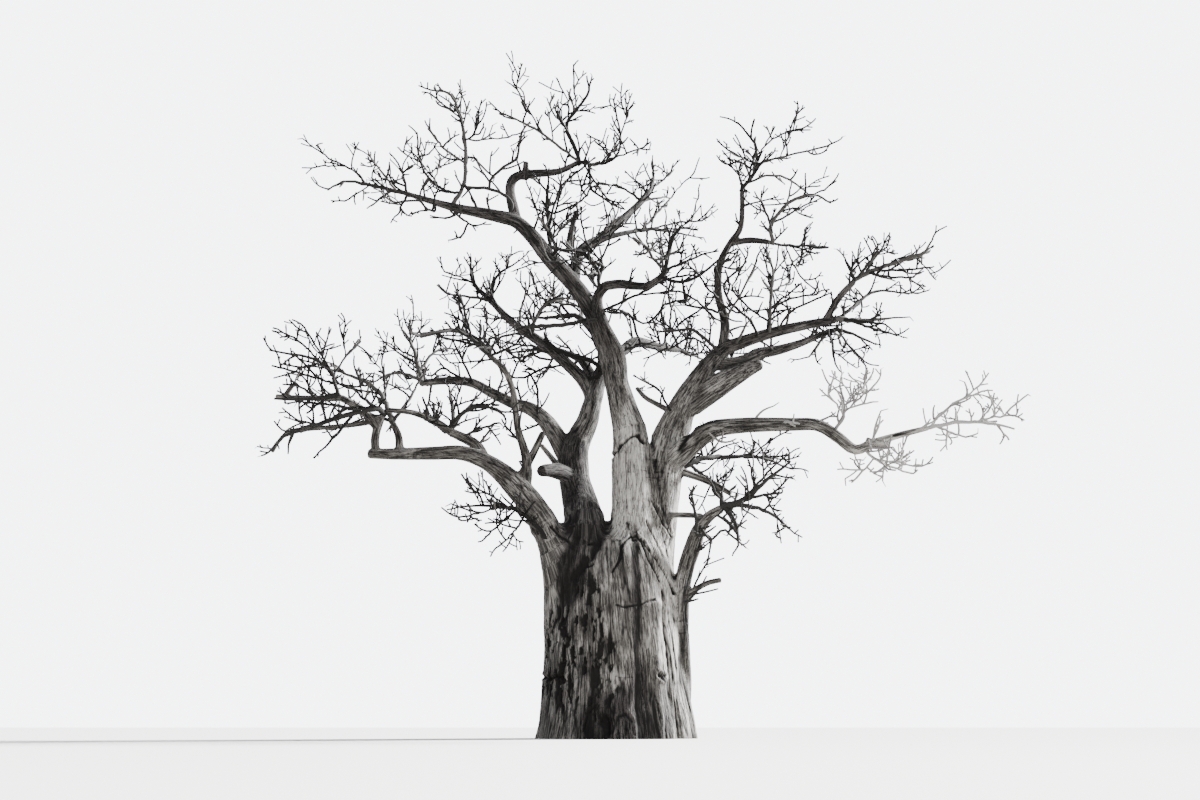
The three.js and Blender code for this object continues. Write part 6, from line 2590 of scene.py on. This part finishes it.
class Shading:
    """Shader effects that the finishes share, each a node group built once."""

    BARK = "bark_relief"
    LINE_WIDTH = 0.035

    @classmethod
    def relief(cls) -> NodeTree:
        """Streaks, flecks and grain of bark, as masks and a height.

        Returns:
            The node group: in goes a place, and out come Streak, Fleck, Line and Height.
        """
        if cls.BARK in bpy.data.node_groups:
            return bpy.data.node_groups[cls.BARK]
        tree = bpy.data.node_groups.new(cls.BARK, "ShaderNodeTree")
        wiring = Wiring(tree)
        wiring.socket("Place", "NodeSocketVector")
        wiring.socket("Streak Size", "NodeSocketFloat")
        wiring.socket("Stretch", "NodeSocketFloat")
        for name in ("Streak", "Fleck", "Line", "Height"):
            wiring.socket(name, "NodeSocketFloat", "OUTPUT")
        given = wiring.node("NodeGroupInput").outputs
        long_axis = wiring.math("DIVIDE", 1.0, given["Stretch"])
        shape = wiring.node("ShaderNodeCombineXYZ", {"X": 1.0, "Y": 1.0, "Z": long_axis})
        drawn = wiring.node(
            "ShaderNodeVectorMath", {0: given["Place"], 1: shape.outputs[0]}, operation="MULTIPLY"
        ).outputs[0]
        scale = wiring.math("DIVIDE", 1.0, given["Streak Size"])
        streak = wiring.noise(drawn, scale, detail=4.0, roughness=0.7)
        finer = wiring.math("MULTIPLY", scale, 1.7)
        fleck = wiring.noise(given["Place"], finer, detail=2.0, roughness=0.6)
        wider = wiring.math("MULTIPLY", scale, 0.55)
        wide = wiring.noise(drawn, wider, detail=3.0, roughness=0.6, distortion=0.3)
        off = wiring.math("ABSOLUTE", wiring.math("SUBTRACT", wide, 0.5))
        line = wiring.node("ShaderNodeMapRange", {
            "Value": off, "From Min": cls.LINE_WIDTH, "From Max": 0.0,
        }).outputs[0]
        streaks = wiring.math("MULTIPLY", streak, 0.7)
        raised = wiring.math("ADD", streaks, wiring.math("MULTIPLY", fleck, 0.3))
        height = wiring.math("SUBTRACT", raised, wiring.math("MULTIPLY", line, 0.25))
        wiring.node("NodeGroupOutput", {
            "Streak": streak, "Fleck": fleck, "Line": line, "Height": height,
        })
        return tree


def new_material(name: str) -> tuple[Material, Wiring, Node]:
    """A material with a Principled shader wired to its output.

    Args:
        name: The material's name.

    Returns:
        The material, the wiring of its nodes and the shader.
    """
    material = bpy.data.materials.new(name)
    material.use_nodes = True
    material.node_tree.nodes.clear()
    wiring = Wiring(material.node_tree)
    shader = wiring.node("ShaderNodeBsdfPrincipled")
    wiring.node("ShaderNodeOutputMaterial", {"Surface": shader.outputs[0]})
    return material, wiring, shader


@dataclass(frozen=True)
class BarkFinish:
    """Old bark: grey, streaked along the limb, with painted shade near black in its clefts."""

    dark: Triple = (0.012, 0.011, 0.0105)
    middle: Triple = (0.095, 0.088, 0.082)
    pale: Triple = (0.52, 0.5, 0.47)
    # The colour that the darkened bark is multiplied with
    stain: Triple = (0.25, 0.24, 0.25)
    weathered: Triple = (0.5, 0.49, 0.48)
    # Painted light: the pale colour that the lit patches and the glare are mixed towards
    painted_light: Triple = (0.66, 0.635, 0.6)
    streak_size: float = 0.036
    stretch: float = 14.0
    streak_band: Bounds = (0.41, 0.59)
    line_band: Bounds = (0.47, 0.4)
    spot_band: Bounds = (0.44, 0.33)
    weather_scale: float = 1.1
    weather_band: Bounds = (0.62, 0.42)
    # Painted shade: where the clefts darken towards near black
    cleft_shade_band: Bounds = (0.12, 0.75)
    least_lines: float = 0.45
    # How strongly the painted light pales the bark
    painted_light_strength: float = 0.65
    cracking: float = 0.95
    roughness: float = 0.9
    specular: float = 0.2
    bump_strength: float = 0.8
    bump: float = 0.03

    NAME = "old_bark"

    def material(self) -> Material:
        """The one material of the bark.

        Returns:
            The material.
        """
        if self.NAME in bpy.data.materials:
            return bpy.data.materials[self.NAME]
        material, wiring, shader = new_material(self.NAME)

        def attribute(name: str, output: str) -> NodeSocket:
            """An attribute of the skin."""
            return wiring.node("ShaderNodeAttribute", attribute_name=name).outputs[output]

        def mixed(share: object, first: object, second: object, way: str = "MIX") -> NodeSocket:
            """A mixture of two colours, or the first one darkened by the second.

            Args:
                share: How much of the second colour.
                first: The one colour.
                second: The other.
                way: How the two are blended.

            Returns:
                The mixture's socket.
            """
            feeds = {"Factor": share, 6: first, 7: second}
            mix = wiring.node("ShaderNodeMix", feeds, data_type="RGBA", blend_type=way)
            return mix.outputs[2]

        def band(value: object, bounds: Bounds) -> NodeSocket:
            """How far a value is on its way from one bound to the other."""
            feeds = {"Value": value, "From Min": bounds[0], "From Max": bounds[1]}
            return wiring.node("ShaderNodeMapRange", feeds).outputs[0]

        grain = attribute("grain", "Vector")
        relief = wiring.node("ShaderNodeGroup", node_tree=Shading.relief())
        for key, value in (("Streak Size", self.streak_size), ("Stretch", self.stretch)):
            relief.inputs[key].default_value = value
        wiring.tree.links.new(grain, relief.inputs["Place"])
        streak, fleck = relief.outputs["Streak"], relief.outputs["Fleck"]
        broad = wiring.noise(grain, self.weather_scale, detail=2.0, roughness=0.5)
        stain = attribute("stain", "Fac")
        # The marks above 0 darken the bark: patches painted darker, slim limbs, and painted shade
        # on the undersides of the limbs
        darkened = band(stain, (0.0, 1.0))
        more = wiring.math("MULTIPLY", darkened, 1 - self.least_lines)
        rough = wiring.math("ADD", more, self.least_lines)
        dark = (*self.dark, 1)
        colour = mixed(band(streak, self.streak_band), (*self.middle, 1), (*self.pale, 1))
        weather = band(broad, self.weather_band)
        colour = mixed(weather, colour, (*self.weathered, 1), "MULTIPLY")
        # Painted light: where the skin's marks go below 0, the bark is paled
        light_mix = wiring.math("MULTIPLY", band(stain, (0.0, -1.0)), self.painted_light_strength)
        colour = mixed(light_mix, colour, (*self.painted_light, 1))
        lines = wiring.math("MULTIPLY", band(streak, self.line_band), rough)
        colour = mixed(lines, colour, dark)
        cracks = wiring.math("MULTIPLY", relief.outputs["Line"], self.cracking)
        colour = mixed(cracks, colour, dark)
        spots = wiring.math("MULTIPLY", band(fleck, self.spot_band), rough)
        colour = mixed(spots, colour, dark)
        colour = mixed(darkened, colour, (*self.stain, 1), "MULTIPLY")
        # Painted shade: the clefts, grooves, pits and creases darkened towards near black
        colour = mixed(band(attribute("cleft", "Fac"), self.cleft_shade_band), colour, dark)
        wiring.tree.links.new(colour, shader.inputs["Base Color"])
        shader.inputs["Roughness"].default_value = self.roughness
        shader.inputs["Specular IOR Level"].default_value = self.specular
        bump = wiring.node("ShaderNodeBump", {
            "Strength": self.bump_strength, "Distance": self.bump,
            "Height": relief.outputs["Height"],
        })
        wiring.tree.links.new(bump.outputs[0], shader.inputs["Normal"])
        return material


@dataclass(frozen=True)
class TwigFinish:
    """The plain bark of a spray of twigs, in one tone."""

    name: str
    colour: Triple
    roughness: float = 0.85
    specular: float = 0.25

    def material(self) -> Material:
        """The material of this tone.

        Returns:
            The material.
        """
        material, _, shader = new_material(self.name)
        shader.inputs["Base Color"].default_value = (*self.colour, 1)
        shader.inputs["Roughness"].default_value = self.roughness
        shader.inputs["Specular IOR Level"].default_value = self.specular
        return material


TWIG_FINISHES = (
    TwigFinish("twig_dark", (0.012, 0.011, 0.0105)),
    TwigFinish("twig_middle", (0.028, 0.026, 0.0245)),
    TwigFinish("twig_pale", (0.075, 0.071, 0.067)),
    # Paler copies for the far low east sprays: painted light for the glare on them
    TwigFinish("faded_dark", (0.032, 0.03, 0.0285)),
    TwigFinish("faded_middle", (0.24, 0.23, 0.225)),
    TwigFinish("faded_pale", (0.36, 0.35, 0.34)),
)


@dataclass(frozen=True)
class Lamp:
    """A large soft lamp that looks at the tree's middle."""

    name: str
    place: Triple
    size: float
    power: float

    def build(self, aim: Vector) -> None:
        """Hangs the lamp.

        Args:
            aim: The point that it looks at.
        """
        light = bpy.data.lights.new(self.name, "AREA")
        light.shape = "SQUARE"
        light.size = self.size
        light.energy = self.power
        lamp = show_light(self.name, light)
        lamp.location = self.place
        lamp.rotation_euler = (aim - Vector(self.place)).to_track_quat("-Z", "Y").to_euler()


def show_light(name: str, light: Light) -> Object:
    """A lamp's object in the scene.

    Args:
        name: The lamp's name.
        light: Its light.

    Returns:
        The object.
    """
    lamp = bpy.data.objects.new(name, light)
    bpy.context.scene.collection.objects.link(lamp)
    return lamp


@dataclass(frozen=True)
class Studio:
    """The pale floor, the soft light and the camera of the photo."""

    eye: Triple = (-0.406, -36.0, 0.4)
    pitch: float = 14.1
    lens: float = 38.6
    sensor: float = 36.0
    floor_half: float = 90.0
    floor_colour: Triple = (0.95, 0.94, 0.92)
    floor_bounce: Triple = (0.35, 0.34, 0.32)
    floor_roughness: float = 0.95
    sky_colour: Triple = (0.93, 0.95, 1.0)
    sky_strength: float = 0.65
    backdrop_strength: float = 6.5
    sun_strength: float = 28.0
    sun_angle: float = 0.2
    sun_from: Triple = (0.85, 0.42, 0.5)
    lamp: Lamp = Lamp("front_fill", (12.0, -30.0, 16.0), 16.0, 4600.0)
    middle: Triple = (0.0, 0.0, 9.0)
    far: float = 400.0

    def build(self) -> None:
        """Sets up the floor, the light and the camera."""
        half = self.floor_half
        floor_mesh = bpy.data.meshes.new("floor")
        corners = [(-half, -half, 0), (half, -half, 0), (half, half, 0), (-half, half, 0)]
        floor_mesh.from_pydata(corners, [], [(0, 1, 2, 3)])
        material, wiring, shader = new_material("floor")
        seen = wiring.node("ShaderNodeLightPath").outputs["Is Camera Ray"]
        shown = wiring.node("ShaderNodeMix", {
            "Factor": seen, 6: (*self.floor_bounce, 1), 7: (*self.floor_colour, 1),
        }, data_type="RGBA").outputs[2]
        wiring.tree.links.new(shown, shader.inputs["Base Color"])
        shader.inputs["Roughness"].default_value = self.floor_roughness
        floor_mesh.materials.append(material)
        show("floor", floor_mesh)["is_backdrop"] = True
        world = bpy.data.worlds.new("sky")
        bpy.context.scene.world = world
        world.use_nodes = True
        wiring = Wiring(world.node_tree)
        seen = wiring.node("ShaderNodeLightPath").outputs["Is Camera Ray"]
        extra = wiring.math("MULTIPLY", seen, self.backdrop_strength - self.sky_strength)
        background = world.node_tree.nodes["Background"]
        background.inputs["Color"].default_value = (*self.sky_colour, 1)
        wiring.tree.links.new(
            wiring.math("ADD", extra, self.sky_strength), background.inputs["Strength"]
        )
        sun = bpy.data.lights.new("sun", "SUN")
        sun.energy = self.sun_strength
        sun.angle = self.sun_angle
        lamp = show_light("sun", sun)
        lamp.rotation_euler = Vector(self.sun_from).to_track_quat("Z", "Y").to_euler()
        self.lamp.build(Vector(self.middle))
        camera = bpy.data.cameras.new("camera")
        camera.lens = self.lens
        camera.sensor_width = self.sensor
        camera.clip_end = self.far
        view = bpy.data.objects.new("camera", camera)
        bpy.context.scene.collection.objects.link(view)
        view.location = self.eye
        view.rotation_euler = (math.radians(90 + self.pitch), 0, 0)
        bpy.context.scene.camera = view


def main() -> None:
    """Builds the bark, the twigs and the studio, with the twigs held within the solids' reach."""
    logging.basicConfig(level=logging.INFO, format="%(message)s")
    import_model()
    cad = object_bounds()
    skeleton = Skeleton()
    BarkSkin(skeleton).build(BarkFinish())
    low, high = (corner / MILLIMETRE for corner in cad)
    margin = Vector((CROWN_MARGIN,) * 3)
    crown = Crown(skeleton, low - margin, high + margin)
    crown.build(tuple(finish.material() for finish in TWIG_FINISHES))
    Studio().build()
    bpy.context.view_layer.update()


if __name__ == "__main__":
    main()
